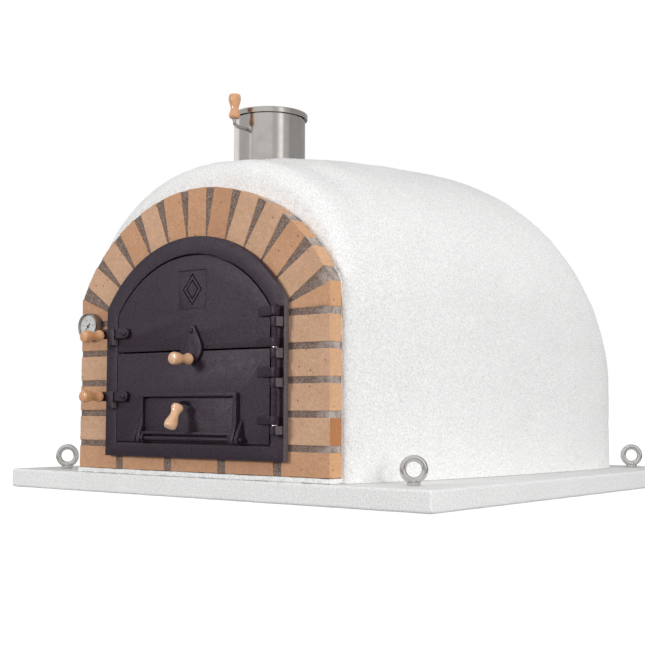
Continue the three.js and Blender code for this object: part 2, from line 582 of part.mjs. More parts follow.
function eyeBolt() {
  const ring = new THREE.TorusGeometry(EYE.ring, EYE.wire, 8, 16);
  ring.rotateX(Math.PI / 2);
  const eye = solid(ring.translate(0, 0, EYE.centre));
  const round = (z0, z1, radius) => {
    const geometry = new THREE.CylinderGeometry(radius, radius, z1 - z0, 12);
    return solid(geometry.rotateX(Math.PI / 2).translate(0, 0, (z0 + z1) / 2));
  };
  return join(eye, round(GAP, EYE_COLLAR.height, EYE_COLLAR.radius), round(-28, 1, EYE.shank));
}

function eyePlaces() {
  const sides = [['left', EYE.left - SLAB.side / 2], ['right', SLAB.side / 2 - EYE.right]];
  const ends = [['front', EYE.front], ['back', SLAB.side - EYE.back]];
  return ends.flatMap(([end, y]) => sides.map(([side, x]) => [`${end}_${side}`, x, y]));
}

function baseSlab() {
  const half = SLAB.side / 2 - SLAB.corner;
  const plan = new THREE.Shape();
  plan.absarc(half, half, SLAB.corner, 0, Math.PI / 2, false);
  plan.absarc(-half, half, SLAB.corner, Math.PI / 2, Math.PI, false);
  plan.absarc(-half, -half, SLAB.corner, Math.PI, 1.5 * Math.PI, false);
  plan.absarc(half, -half, SLAB.corner, 1.5 * Math.PI, 2 * Math.PI, false);
  const depth = SLAB.thick;
  const geometry = new THREE.ExtrudeGeometry(plan, { depth, bevelEnabled: false, curveSegments: 3 });
  const sockets = eyePlaces().map(([, x, y]) => rodZ(x, y, -30, 5, EYE.shank + 0.5, 12));
  return cut(solid(geometry), ...sockets);
}

// ---------------------------------------------------------------- assembly
const oven = new THREE.Group();

function add(name, body, look, parent = oven) {
  const geometry = body.isBufferGeometry ? body : geometryOf(body);
  const mesh = new THREE.Mesh(geometry, look());
  mesh.name = name;
  parent.add(mesh);
  return mesh;
}

add('base_slab', baseSlab(), LOOK.concrete);
add('outer_shell', outerShell(), LOOK.render);
add('insulation_blanket', insulationBlanket(), LOOK.wool);
add('inner_vault', innerVault(), LOOK.refractory);
add('floor_insulation', floorLayer(GAP, 24.7), LOOK.wool);
add('hearth_floor', floorLayer(25, 65), LOOK.refractory);

const bricks = brickList();
add('facade_mortar', facadeMortar(bricks), LOOK.mortar);
for (const brick of bricks) {
  add(brick.name, cut(brickSolid(brick, 0, FACADE.face), probeBore()), LOOK.brick);
}

add('door_frame', doorFrame(), LOOK.iron);
add('hinge_pin', hingePin(), LOOK.iron);
add('upper_leaf', upperLeaf(), LOOK.iron);
add('lower_leaf', lowerLeaf(), LOOK.iron);
add('catch_plate', catchPlate(), LOOK.iron);
add('catch_pin', pivotPin(CATCH.x, CATCH.pin, CATCH_FRONT), LOOK.iron);
add('draft_flap', draftFlap(), LOOK.iron);
add('flap_pin', rodX(DOOR_FACE - FLAP_PIN.out, FLAP_PIN.height, -FLAP_PIN.halfLength, FLAP_PIN.halfLength,
  FLAP_PIN.radius, 14), LOOK.iron);

// A grip's lathe axis is +Y; turning it half round Z points it out of the door.
function addGrip(name, base, turn) {
  const mesh = add(name, gripGeometry(), LOOK.wood);
  mesh.position.copy(base);
  mesh.quaternion.setFromUnitVectors(new THREE.Vector3(0, 1, 0), turn);
}

for (const [leaf, z] of Object.entries(LATCH.heights)) {
  add(`${leaf}_latch_lever`, latchLever(leaf), LOOK.iron);
  add(`${leaf}_latch_pin`, pivotPin(LATCH.x, z, LEVER_Y), LOOK.iron);
  const { base, direction } = latchGripFrame(leaf);
  addGrip(`${leaf}_latch_grip`, base, direction);
}
addGrip('catch_grip', at(CATCH.x, CATCH_FRONT - GAP, CATCH.gripZ), new THREE.Vector3(0, -1, 0));
const { base: flapBase, direction: flapDirection } = flapGripFrame();
addGrip('flap_grip', flapBase, flapDirection);

add('thermometer_case', gaugeCase(), LOOK.steel);
add('thermometer_dial', gaugeDial(), LOOK.dial);
add('thermometer_needle', gaugeNeedle(), LOOK.black);
add('thermometer_glass', gaugeGlass(), LOOK.glass);

add('flue_pipe', fluePipe(), LOOK.steel);
add('damper', damper(), LOOK.steel);
addGrip('damper_grip', at(0, DAMPER.elbow, DAMPER.gripZ), new THREE.Vector3(0, 0, 1));

for (const [corner, x, y] of eyePlaces()) {
  const bolt = add(`eye_bolt_${corner}`, eyeBolt(), LOOK.steel);
  bolt.position.set(x, FRONT + y, FLOOR);
  bolt.rotation.z = THREE.MathUtils.degToRad(EYE_TURN);
}

export default oven;
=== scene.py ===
"""Wood fired pizza oven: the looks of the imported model.

Pieces are drawn in millimetres as (x, depth behind the slab's front edge, height above the slab's
top) and moved into the row frame when they are finished.
"""

import json
from math import acos, asin, atan2, cos, exp, hypot, pi, radians, sin, sqrt, tau
from types import SimpleNamespace

import bmesh
import bpy
from mathutils import Matrix, Vector, noise

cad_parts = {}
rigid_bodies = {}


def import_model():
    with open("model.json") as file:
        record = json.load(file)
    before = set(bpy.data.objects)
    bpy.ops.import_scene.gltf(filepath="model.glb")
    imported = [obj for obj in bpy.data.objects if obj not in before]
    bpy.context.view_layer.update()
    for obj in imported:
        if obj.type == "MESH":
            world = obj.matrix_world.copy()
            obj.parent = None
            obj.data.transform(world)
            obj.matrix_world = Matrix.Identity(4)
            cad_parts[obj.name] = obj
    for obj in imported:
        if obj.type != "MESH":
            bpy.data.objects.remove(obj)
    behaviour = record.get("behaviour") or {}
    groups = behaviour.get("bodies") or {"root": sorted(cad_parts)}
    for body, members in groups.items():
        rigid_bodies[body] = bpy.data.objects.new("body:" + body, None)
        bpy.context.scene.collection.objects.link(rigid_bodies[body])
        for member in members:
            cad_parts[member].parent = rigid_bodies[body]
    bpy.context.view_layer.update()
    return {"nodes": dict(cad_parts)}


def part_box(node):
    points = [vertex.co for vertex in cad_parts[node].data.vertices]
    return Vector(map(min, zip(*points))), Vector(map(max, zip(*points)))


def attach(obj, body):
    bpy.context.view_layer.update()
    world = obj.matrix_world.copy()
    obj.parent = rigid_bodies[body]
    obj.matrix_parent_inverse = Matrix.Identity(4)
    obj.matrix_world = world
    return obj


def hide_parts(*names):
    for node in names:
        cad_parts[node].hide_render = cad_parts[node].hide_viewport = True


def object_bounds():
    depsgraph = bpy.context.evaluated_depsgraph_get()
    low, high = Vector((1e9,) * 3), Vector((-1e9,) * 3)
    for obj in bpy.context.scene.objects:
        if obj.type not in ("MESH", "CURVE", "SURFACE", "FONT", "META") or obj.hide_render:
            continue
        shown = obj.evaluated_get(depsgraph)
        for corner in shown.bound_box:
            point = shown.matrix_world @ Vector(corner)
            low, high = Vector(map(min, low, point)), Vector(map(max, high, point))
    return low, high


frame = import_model()
MM = 0.001
SLAB_LOW, SLAB_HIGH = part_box("base_slab")
FRONT = SLAB_LOW.y
TOP = SLAB_HIGH.z
TO_ROW = Matrix.Translation((0, FRONT, TOP)) @ Matrix.Scale(MM, 4)
TO_DRAWING = TO_ROW.inverted()

BODY = "oven_body"


def placed(name, data):
    """A new object in the scene around a mesh, lamp, camera or text."""
    made = bpy.data.objects.new(name, data)
    bpy.context.scene.collection.objects.link(made)
    return made


def drawn_box(node):
    """Lowest and highest corners of a CAD node in drawing millimetres."""
    low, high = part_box(node)
    return TO_DRAWING @ low, TO_DRAWING @ high


# ---- camera, light and stage
CAMERA_PLACE = (1.6088, -2.2010, 0.1683)
CAMERA_AZIMUTH = 37.956
CAMERA_PITCH = 4.3137
CAMERA_ROLL = 0.2375
CAMERA_LENS = 65.81


def make_camera():
    data = bpy.data.cameras.new("camera")
    data.lens = CAMERA_LENS
    data.sensor_width = 36
    camera = placed("camera", data)
    turn = Matrix.Rotation(radians(CAMERA_AZIMUTH), 4, "Z")
    tilt = Matrix.Rotation(radians(90 + CAMERA_PITCH), 4, "X")
    roll = Matrix.Rotation(radians(CAMERA_ROLL), 4, "Z")
    camera.matrix_world = Matrix.Translation(CAMERA_PLACE) @ turn @ tilt @ roll
    bpy.context.scene.camera = camera


def area_light(name, place, size, power, mirrored=False):
    data = bpy.data.lights.new(name, "AREA")
    data.shape = "RECTANGLE"
    data.size, data.size_y = size
    data.energy = power
    light = placed(name, data)
    light.visible_glossy = mirrored
    direction = Vector(LIT_POINT) - Vector(place)
    light.matrix_world = (Matrix.Translation(place)
                          @ direction.to_track_quat("-Z", "Y").to_matrix().to_4x4())
    return light


# Brightness of the studio walls that metal mirrors: each band ends at its azimuth in degrees,
# counted from the front of the oven towards its right, and starts where the last one ended.
WALL_START = -90
WALL_BANDS = [(-78, 1.1), (-28, 0.57), (-20, 0.9), (-15, 0.57), (49, 0.76), (66, 0.6), (72, 0.95),
              (84, 1.4), (105, 0.6), (240, 0.4), (270, 1.05)]
WALL_BLEND = 2
SKY_LEVEL, SKY_TOP, MIRRORED_GROUND = 0.34, 0.46, 0.4
LIT_POINT = (0, -0.1, 0.35)
FLOOR_GREY, FLOOR_GLOW, FLOOR_DROP = 0.3, 0.86, 0.0005


def wall_stops():
    """Ramp stops with soft steps between the bands."""
    stops = [(0.0, WALL_BANDS[0][1])]
    for (edge, level), (_, following) in zip(WALL_BANDS, WALL_BANDS[1:]):
        stops.append(((edge - WALL_BLEND - WALL_START) / 360, level))
        stops.append(((edge + WALL_BLEND - WALL_START) / 360, following))
    return stops + [(1.0, WALL_BANDS[-1][1])]


def make_world():
    """Soft even sky for diffuse light, banded walls for mirrored light, plain white behind it all."""
    world = bpy.data.worlds.new("studio")
    world.use_nodes = True
    tree = world.node_tree
    direction = tree.nodes.new("ShaderNodeTexCoord").outputs["Generated"]
    around = tree.nodes.new("ShaderNodeTexGradient")
    around.gradient_type = "RADIAL"
    tree.links.new(direction, around.inputs["Vector"])
    walls = ramp_node(tree, around.outputs["Fac"], wall_stops())
    height = tree.nodes.new("ShaderNodeSeparateXYZ")
    tree.links.new(direction, height.inputs[0])
    level = tree.nodes.new("ShaderNodeMapRange")
    level.inputs["From Min"].default_value = -1
    tree.links.new(height.outputs["Z"], level.inputs["Value"])
    sky = ramp_node(tree, level.outputs["Result"], [(0.5, SKY_LEVEL), (1.0, SKY_TOP)])
    ground = ramp_node(tree, level.outputs["Result"], [(0.46, MIRRORED_GROUND), (0.5, 1.0)])
    walls = mix_node(tree, 1.0, walls, ground, "MULTIPLY")
    path = tree.nodes.new("ShaderNodeLightPath")
    lit = mix_node(tree, path.outputs["Is Glossy Ray"], sky, walls)
    seen = mix_node(tree, path.outputs["Is Camera Ray"], lit, (1, 1, 1))
    tree.links.new(seen, tree.nodes["Background"].inputs["Color"])
    bpy.context.scene.world = world


def make_lights():
    """Sky, walls and four lamps; the key lamp is returned."""
    make_world()
    key = area_light("key_left", (-1.9, -5.6, 1.5), (1.3, 0.9), 152, mirrored=True)
    area_light("fill_right", (4.4, -1.3, 1.9), (2.2, 2.0), 113)
    area_light("low_right", (4.2, -2.3, 0.5), (0.9, 0.6), 25)
    area_light("top_soft", (0.3, 0.4, 3.6), (2.6, 2.6), 7)
    bpy.context.scene.view_settings.view_transform = "Standard"
    return key


def keep_off_metal(light, pieces):
    """Bright metal mirrors only the studio walls, not this lamp."""
    shaded = bpy.data.collections.new("bright_metal")
    for made in pieces:
        shaded.objects.link(made)
    for entry in shaded.collection_objects:
        entry.light_linking.link_state = "EXCLUDE"
    light.light_linking.receiver_collection = shaded


def make_floor():
    """A pale floor as bright as the white behind it; it doesn't throw its own light on the oven."""
    bpy.ops.mesh.primitive_plane_add(size=60, location=(0, 0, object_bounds()[0][2] - FLOOR_DROP))
    floor = bpy.context.object
    floor.name = "studio_floor"
    shader = Shader("studio_floor", roughness=0.9)
    shader.set("Base Color", (FLOOR_GREY, FLOOR_GREY, FLOOR_GREY, 1))
    shader.set("Emission Color", (1, 1, 1, 1))
    shader.set("Emission Strength", FLOOR_GLOW)
    floor.data.materials.append(shader.material)
    floor.visible_diffuse = False
    floor.visible_glossy = False


# ---- shader kit
def ramp_node(tree, source, stops):
    """Colour or grey for each position: stops are (position, grey or colour)."""
    node = tree.nodes.new("ShaderNodeValToRGB")
    elements = node.color_ramp.elements
    while len(elements) < len(stops):
        elements.new(0.5)
    for element, (position, value) in zip(elements, stops):
        element.position = position
        colour = value if isinstance(value, tuple) else (value, value, value)
        element.color = (*colour, 1)
    tree.links.new(source, node.inputs["Fac"])
    return node.outputs["Color"]


def mix_node(tree, factor, first, second, mode="MIX"):
    """Mix of two colours; each input is a socket, a colour or a number."""
    node = tree.nodes.new("ShaderNodeMix")
    node.data_type = "RGBA"
    node.blend_type = mode
    for socket, value in ((node.inputs[0], factor), (node.inputs[6], first), (node.inputs[7], second)):
        if isinstance(value, bpy.types.NodeSocket):
            tree.links.new(value, socket)
        elif isinstance(value, tuple):
            socket.default_value = (*value, 1)
        else:
            socket.default_value = value
    return node.outputs[2]


class Shader:
    """A principled material with a few short ways to add procedural detail."""

    def __init__(self, name, roughness=0.5, metallic=0.0):
        self.material = bpy.data.materials.new(name)
        self.material.use_nodes = True
        self.tree = self.material.node_tree
        self.bsdf = self.tree.nodes["Principled BSDF"]
        self.set("Roughness", roughness)
        self.set("Metallic", metallic)
        self.place = self.tree.nodes.new("ShaderNodeTexCoord").outputs["Object"]
        self.height = None

    def set(self, name, value):
        self.bsdf.inputs[name].default_value = value

    def link(self, source, target):
        self.tree.links.new(source, target)

    def stretched(self, stretch):
        node = self.tree.nodes.new("ShaderNodeMapping")
        node.inputs["Scale"].default_value = stretch
        self.link(self.place, node.inputs["Vector"])
        return node.outputs["Vector"]

    def noise(self, scale, detail=3.0, rough=0.6, stretch=None):
        node = self.tree.nodes.new("ShaderNodeTexNoise")
        node.inputs["Scale"].default_value = scale
        node.inputs["Detail"].default_value = detail
        node.inputs["Roughness"].default_value = rough
        self.link(self.stretched(stretch) if stretch else self.place, node.inputs["Vector"])
        return node.outputs[0]

    def cells(self, scale):
        node = self.tree.nodes.new("ShaderNodeTexVoronoi")
        node.inputs["Scale"].default_value = scale
        self.link(self.place, node.inputs["Vector"])
        return node.outputs["Distance"]

    def axis(self, output, axis):
        """One coordinate of the surface's place or normal in the row frame."""
        node = self.tree.nodes.new("ShaderNodeSeparateXYZ")
        self.link(self.tree.nodes["Texture Coordinate"].outputs[output], node.inputs[0])
        return node.outputs[axis]

    def ramp(self, source, stops):
        return ramp_node(self.tree, source, stops)

    def mix(self, factor, first, second, mode="MIX"):
        return mix_node(self.tree, factor, first, second, mode)

    def shade(self, factor, colour, source, stops):
        """Darkens and lightens a colour with a grey ramp over source."""
        return self.mix(factor, colour, self.ramp(source, stops), "MULTIPLY")

    def patch(self, colour, source, stops, other):
        """Changes a colour into another where a grey ramp over source is white."""
        return self.mix(self.ramp(source, stops), colour, other)

    def colour(self, source):
        self.link(source, self.bsdf.inputs["Base Color"])

    def roughness(self, source, low, high):
        self.link(self.ramp(source, [(0.3, low), (0.7, high)]), self.bsdf.inputs["Roughness"])

    def bump(self, source, distance_mm, strength=1.0):
        node = self.tree.nodes.new("ShaderNodeBump")
        node.inputs["Strength"].default_value = strength
        node.inputs["Distance"].default_value = distance_mm * MM
        self.link(source, node.inputs["Height"])
        if self.height is not None:
            self.link(self.height, node.inputs["Normal"])
        self.height = node.outputs["Normal"]
        self.link(self.height, self.bsdf.inputs["Normal"])


# ---- materials
def mineral_material(name, low, high, depth_mm):
    """White mineral skin with one fine grain: small shallow hollows and a trace of cloud."""
    shader = Shader(name)
    grain = shader.noise(300, 3, 0.75)
    broad = shader.noise(6, 3)
    white = shader.ramp(grain, [(0.33, tuple(low * part for part in (1, 1, 0.995))),
                                (0.62, tuple(high * part for part in (1, 1, 0.993)))])
    shader.colour(shader.shade(1.0, white, broad, [(0.35, 0.965), (0.65, 1.0)]))
    shader.roughness(grain, 0.8, 0.96)
    shader.bump(grain, depth_mm)
    return shader.material


def brick_material(name, tone, blush, end):
    """Fired clay: sandy face, soft blush, small dark pits, pale scuffs, and faces turned to the right
    painted in the end colour, a painted light that makes them lighter and warmer as if lit from the right.
    """
    shader = Shader(f"brick_{name}")
    cloud = shader.noise(16, 4, 0.55)
    sand = shader.noise(270, 4, 0.85)
    streak = shader.noise(60, 5, 0.6, (1, 1, 2.2))
    body = shader.patch(tone, cloud, [(0.34, 0.0), (0.68, 1.0)], blush)
    # Faces whose normal points to the right take the end colour: painted light from the right, except on
    # burnt_end, where it is the brick's own darker burnt tone.
    body = shader.patch(body, shader.axis("Normal", "X"), [(0.55, 0.0), (0.8, 1.0)], end)
    body = shader.shade(0.5, body, streak, [(0.3, 0.88), (0.7, 1.07)])
    body = shader.shade(0.8, body, sand, [(0.33, 0.74), (0.62, 1.17)])
    pits = shader.cells(46)
    body = shader.patch(body, pits, [(0.05, 1.0), (0.1, 0.0)], (0.14, 0.07, 0.04))
    scuffs = shader.noise(34, 6, 0.7)
    body = shader.patch(body, scuffs, [(0.62, 0.0), (0.76, 0.35)], (0.76, 0.58, 0.44))
    shader.colour(body)
    shader.roughness(sand, 0.8, 0.97)
    shader.bump(pits, 0.6, 0.4)
    shader.bump(sand, 0.35)
    return shader.material


def mortar_material():
    """Brown-grey mortar of coarse sand, with a pale bloom towards the right-hand corner."""
    shader = Shader("mortar")
    sand = shader.noise(360, 3, 0.8)
    lumps = shader.noise(70, 4, 0.6)
    body = shader.ramp(sand, [(0.34, (0.085, 0.058, 0.046)), (0.47, (0.185, 0.13, 0.105)),
                              (0.58, (0.265, 0.195, 0.162)), (0.7, (0.46, 0.38, 0.33))])
    body = shader.shade(0.6, body, lumps, [(0.3, 0.72), (0.7, 1.2)])
    corner = shader.ramp(shader.axis("Object", "X"), [(0.296, 0.0), (0.335, 0.8)])
    outside = shader.ramp(shader.axis("Normal", "Z"), [(0.3, 0.0), (0.6, 0.75)])
    edge = shader.mix(1.0, corner, outside, "LIGHTEN")
    bloom = shader.shade(1.0, edge, lumps, [(0.35, 0.25), (0.6, 1.0)])
    shader.colour(shader.mix(bloom, body, (0.58, 0.52, 0.48)))
    shader.roughness(sand, 0.86, 1.0)
    shader.bump(lumps, 1.2)
    shader.bump(sand, 0.9)
    return shader.material


def iron_material(name="cast_iron", side=None):
    """Sand-cast iron under thin heat-proof paint, faintly violet black; with side given, faces turned to the
    right are painted lighter in that grey, a painted light as if lit from the right.
    """
    shader = Shader(name)
    shader.set("Specular IOR Level", 0.28)
    shader.set("Specular Tint", (1.0, 0.92, 1.0, 1))
    cast = shader.noise(230, 4, 0.85)
    skin = shader.noise(85, 3, 0.6)
    broad = shader.noise(9, 3, 0.5)
    dark = shader.ramp(cast, [(0.36, (0.005, 0.002, 0.0055)), (0.64, (0.042, 0.0265, 0.043))])
    dark = shader.shade(0.5, dark, broad, [(0.3, 0.8), (0.7, 1.2)])
    # side is painted light: faces whose normal points to the right get a lighter grey, as if lit by the lamp
    # on the right.
    if side:
        painted_side_light = shader.shade(1.0, side, cast, [(0.36, 0.7), (0.64, 1.25)])
        dark = shader.patch(dark, shader.axis("Normal", "X"), [(0.7, 0.0), (0.92, 1.0)], painted_side_light)
    shader.colour(dark)
    shader.roughness(skin, 0.38, 0.52)
    shader.bump(skin, 0.35, 0.5)
    shader.bump(cast, 0.5)
    return shader.material


def beech_material(name, tint):
    """Pale turned beech with fine flecks under clear varnish."""
    shader = Shader(f"beech_{name}", roughness=0.36)
    shader.set("Coat Weight", 1.0)
    shader.set("Coat Roughness", 0.06)
    grain = shader.noise(140, 5, 0.6, (1, 0.12, 0.3))
    fleck = shader.noise(900, 2, 0.5, (1, 0.25, 0.35))
    body = shader.ramp(grain, [(0.3, (0.66, 0.36, 0.19)), (0.5, (0.78, 0.46, 0.265)),
                               (0.7, (0.84, 0.53, 0.33))])
    body = shader.shade(0.45, body, fleck, [(0.36, 0.74), (0.5, 1.0)])
    shader.colour(shader.mix(1.0, body, tint, "MULTIPLY"))
    shader.bump(grain, 0.12, 0.5)
    return shader.material


def steel_material(name, tone, low, high, stretch):
    """Bright steel with fine brush lines and faint handling marks."""
    shader = Shader(name, metallic=1.0)
    brush = shader.noise(260, 3, 0.6, stretch)
    marks = shader.noise(24, 4, 0.6)
    shade = tuple(0.86 * part for part in tone)
    shader.colour(shader.patch(tone, marks, [(0.35, 0.0), (0.7, 1.0)], shade))
    shader.roughness(marks, low, high)
    shader.bump(brush, 0.02, 0.6)
    return shader.material


def plain_material(name, colour, roughness):
    """Even paint or print with a trace of grain."""
    shader = Shader(name)
    grain = shader.noise(500, 3)
    dark = tuple(0.88 * part for part in colour)
    shader.colour(shader.patch(dark, grain, [(0.35, 0.0), (0.65, 1.0)], colour))
    shader.roughness(grain, roughness * 0.85, roughness)
    shader.bump(grain, 0.04)
    return shader.material


def rough_material(name, dark, light, scale, depth_mm):
    """Coarse refractory or fibre."""
    shader = Shader(name)
    lumps = shader.noise(scale, 5, 0.65)
    grain = shader.noise(scale * 8, 3, 0.7)
    body = shader.ramp(lumps, [(0.3, dark), (0.7, light)])
    shader.colour(shader.shade(0.5, body, grain, [(0.3, 0.75), (0.65, 1.1)]))
    shader.roughness(grain, 0.85, 1.0)
    shader.bump(lumps, depth_mm)
    shader.bump(grain, depth_mm * 0.4)
    return shader.material


def glass_material():
    shader = Shader("gauge_glass", roughness=0.04)
    shader.set("Transmission Weight", 1.0)
    shader.set("IOR", 1.45)
    smear = shader.noise(60, 3)
    shader.roughness(smear, 0.02, 0.08)
    shader.colour(shader.ramp(smear, [(0.3, 0.96), (0.7, 1.0)]))
    return shader.material


BEECH_TONES = {"warm": (0.86, 0.73, 0.60), "plain": (0.93, 0.92, 0.90), "pale": (1.0, 1.0, 1.0)}
# Each brick's main tone, its blush and the colour of its right-facing faces, painted lighter as if lit from
# the right; on burnt_end that colour is a darker burnt tone.
BRICK_TONES = {
    "light": ((0.60, 0.375, 0.245), (0.56, 0.335, 0.21), (0.68, 0.405, 0.235)),
    "middle": ((0.57, 0.32, 0.185), (0.53, 0.285, 0.16), (0.66, 0.37, 0.20)),
    "dark": ((0.525, 0.285, 0.165), (0.50, 0.265, 0.15), (0.60, 0.33, 0.18)),
    "burnt_end": ((0.60, 0.375, 0.245), (0.56, 0.335, 0.21), (0.47, 0.205, 0.085)),
}


# ---- mesh kit
def smooth_path(points, steps):
    """Catmull-Rom curve through points, steps per span."""
    points = [Vector(point) for point in points]
    padded = [points[0] * 2 - points[1], *points, points[-1] * 2 - points[-2]]
    curve = []
    for i in range(1, len(padded) - 2):
        a, b, c, d = padded[i - 1:i + 3]
        for step in range(steps):
            t = step / steps
            curve.append(0.5 * (2 * b + (c - a) * t + (2 * a - 5 * b + 4 * c - d) * t ** 2
                                + (3 * b - 3 * c + d - a) * t ** 3))
    curve.append(points[-1])
    return curve


def skin(bm, rows, wrap=True):
    """Faces between neighbouring rows of vertices, where a row may be one point; wrap closes the rows."""
    for first, second in zip(rows, rows[1:]):
        a, b = len(first), len(second)
        count = max(a, b)
        for i in range(count if wrap else count - 1):
            j = (i + 1) % count
            bm.faces.new(list(dict.fromkeys((first[i % a], first[j % a], second[j % b], second[i % b]))))


def outward(bm):
    """Turns every face outwards."""
    bmesh.ops.recalc_face_normals(bm, faces=bm.faces)
    return bm


def arc(x, z, radius, start, sweep, steps):
    """Points along a circular arc, with both of its ends."""
    angles = [start + sweep * i / steps for i in range(steps + 1)]
    return [(x + radius * cos(angle), z + radius * sin(angle)) for angle in angles]


def bevel_sharp(bm, offset, segments=2, angle=25):
    """Rounds the edges that turn by more than angle degrees."""
    if not offset:
        return bm
    bm.normal_update()
    edges = [edge for edge in bm.edges if edge.is_manifold and edge.calc_face_angle() > radians(angle)]
    bmesh.ops.bevel(bm, geom=edges, offset=offset, segments=segments, profile=0.6,
                    affect="EDGES", clamp_overlap=True)
    return bm


AXIS_ORDER = {"x": lambda a, b, along: (along, a, b), "y": lambda a, b, along: (a, along, b),
              "z": lambda a, b, along: (a, b, along)}


def extrude(outline, axis, low, high, bevel):
    """Closed solid of an outline carried along one axis, its sharp edges rounded."""
    bm = bmesh.new()
    place = AXIS_ORDER[axis]
    first = [bm.verts.new(place(a, b, low)) for a, b in outline]
    last = [bm.verts.new(place(a, b, high)) for a, b in outline]
    bm.faces.new(first)
    bm.faces.new(last[::-1])
    skin(bm, [last, first])
    return bevel_sharp(outward(bm), bevel)


def block(x0, x1, y0, y1, z0, z1, bevel):
    return extrude([(x0, z0), (x1, z0), (x1, z1), (x0, z1)], "y", y0, y1, bevel)


def rod(axis, a, b, low, high, radius, bevel, sides=48):
    return extrude(arc(a, b, radius, 0, tau, sides)[:-1], axis, low, high, bevel)


def stadium(x0, z0, r0, x1, z1, r1, steps=24):
    """Outline of a bar between two round ends of different size."""
    turn = atan2(z1 - z0, x1 - x0)
    lean = acos((r0 - r1) / hypot(x1 - x0, z1 - z0))
    return (arc(x0, z0, r0, turn + lean, tau - 2 * lean, steps)
            + arc(x1, z1, r1, turn - lean, 2 * lean, steps))


def arch(half, bottom, spring, top, steps=56):
    """Outline of upright jambs under a circular arc, from the bottom left anticlockwise."""
    rise = top - spring
    radius = (half ** 2 + rise ** 2) / (2 * rise)
    centre = top - radius
    start = asin((spring - centre) / radius)
    return [(-half, bottom), (half, bottom)] + arc(0, centre, radius, start, pi - 2 * start, steps)


def ring_prism(outer, inner, low, high, bevel=0.0):
    """Frame between two outlines with the same number of points, along the depth."""
    bm = bmesh.new()
    loops = [[bm.verts.new((x, y, z)) for x, z in outline]
             for outline, y in ((outer, low), (inner, low), (inner, high), (outer, high))]
    skin(bm, loops + loops[:1])
    return bevel_sharp(outward(bm), bevel)


def lathe(profile, place, direction, sides, closed=False):
    """Turned solid: profile is (radius, distance along direction); closed joins its ends."""
    bm = bmesh.new()
    turn = Vector((0, 0, 1)).rotation_difference(Vector(direction)).to_matrix().to_4x4()
    loops = [[bm.verts.new((*point, along)) for point in arc(0, 0, radius, 0, tau, sides)[:-1]]
             if radius else [bm.verts.new((0, 0, along))] for radius, along in profile]
    skin(bm, loops + loops[:1] if closed else loops)
    bm.transform(Matrix.Translation(place) @ turn)
    return outward(bm)


def tube(points, radius):
    """Round bar along a smooth path, with rounded ends."""
    sides = 20
    path = smooth_path(points, 8)
    bm = bmesh.new()
    normal = (path[1] - path[0]).orthogonal().normalized()
    loops = []
    for i, point in enumerate(path):
        tangent = (path[min(i + 1, len(path) - 1)] - path[max(i - 1, 0)]).normalized()
        normal = (normal - tangent * normal.dot(tangent)).normalized()
        side = tangent.cross(normal)
        loops.append([bm.verts.new(point + radius * (normal * cos(tau * k / sides)
                                                     + side * sin(tau * k / sides)))
                      for k in range(sides)])
    skin(bm, loops)
    bm.faces.new(loops[0][::-1])
    bm.faces.new(loops[-1])
    return bevel_sharp(outward(bm), radius * 0.3, 2, 60)


def worn_block(corners, depth0, depth1, spacing, radius, wear, wave):
    """Block with a four-cornered face and rounded, unevenly worn edges.

    corners are (x, z) at the lower left, lower right, upper right and upper left.
    """
    lower_left, lower_right, upper_right, upper_left = (Vector((x, 0, z)) for x, z in corners)
    size = ((lower_right - lower_left).length, depth1 - depth0, (upper_left - lower_left).length)
    lines = []
    for length in size:
        count = max(2, round((length - 4 * radius) / spacing))
        inside = [2 * radius + (length - 4 * radius) * i / count for i in range(count + 1)]
        edge = [0, radius * 0.5, radius, radius * 1.5]
        lines.append(edge + inside + [length - step for step in reversed(edge)])
    bm = bmesh.new()
    grid = {}

    def vertex(i, j, k):
        key = (i, j, k)
        if key not in grid:
            local = Vector((lines[0][i], lines[1][j], lines[2][k]))
            seed = Vector((lower_left.x + local.x, local.y, lower_left.z + local.z))
            rounding = radius * (1 + wear * max(0.0, noise.noise(seed / 7) + 0.3 * noise.noise(seed / 2.5)))
            inner = Vector(min(max(value, rounding), length - rounding)
                           for value, length in zip(local, size))
            off = local - inner
            if off.length > 1e-6:
                local = inner + off.normalized() * min(off.length, rounding)
            dent = wave * (noise.noise(seed / 18) - 0.6)
            middle = Vector(size) / 2
            for axis in range(3):
                pull = dent * (1 if local[axis] < middle[axis] else -1)
                if min(local[axis], size[axis] - local[axis]) < radius:
                    local[axis] -= pull
            across, up = local.x / size[0], local.z / size[2]
            low = lower_left.lerp(lower_right, across)
            high = upper_left.lerp(upper_right, across)
            where = low.lerp(high, up)
            grid[key] = bm.verts.new((where.x, depth0 + local.y, where.z))
        return grid[key]

    counts = [len(line) - 1 for line in lines]
    for fixed in range(3):
        first, second = [axis for axis in range(3) if axis != fixed]
        for end in (0, counts[fixed]):
            for a in range(counts[first]):
                for b in range(counts[second]):
                    loop = []
                    for da, db in ((0, 0), (1, 0), (1, 1), (0, 1)):
                        index = [0, 0, 0]
                        index[fixed], index[first], index[second] = end, a + da, b + db
                        loop.append(vertex(*index))
                    bm.faces.new(loop)
    return outward(bm)


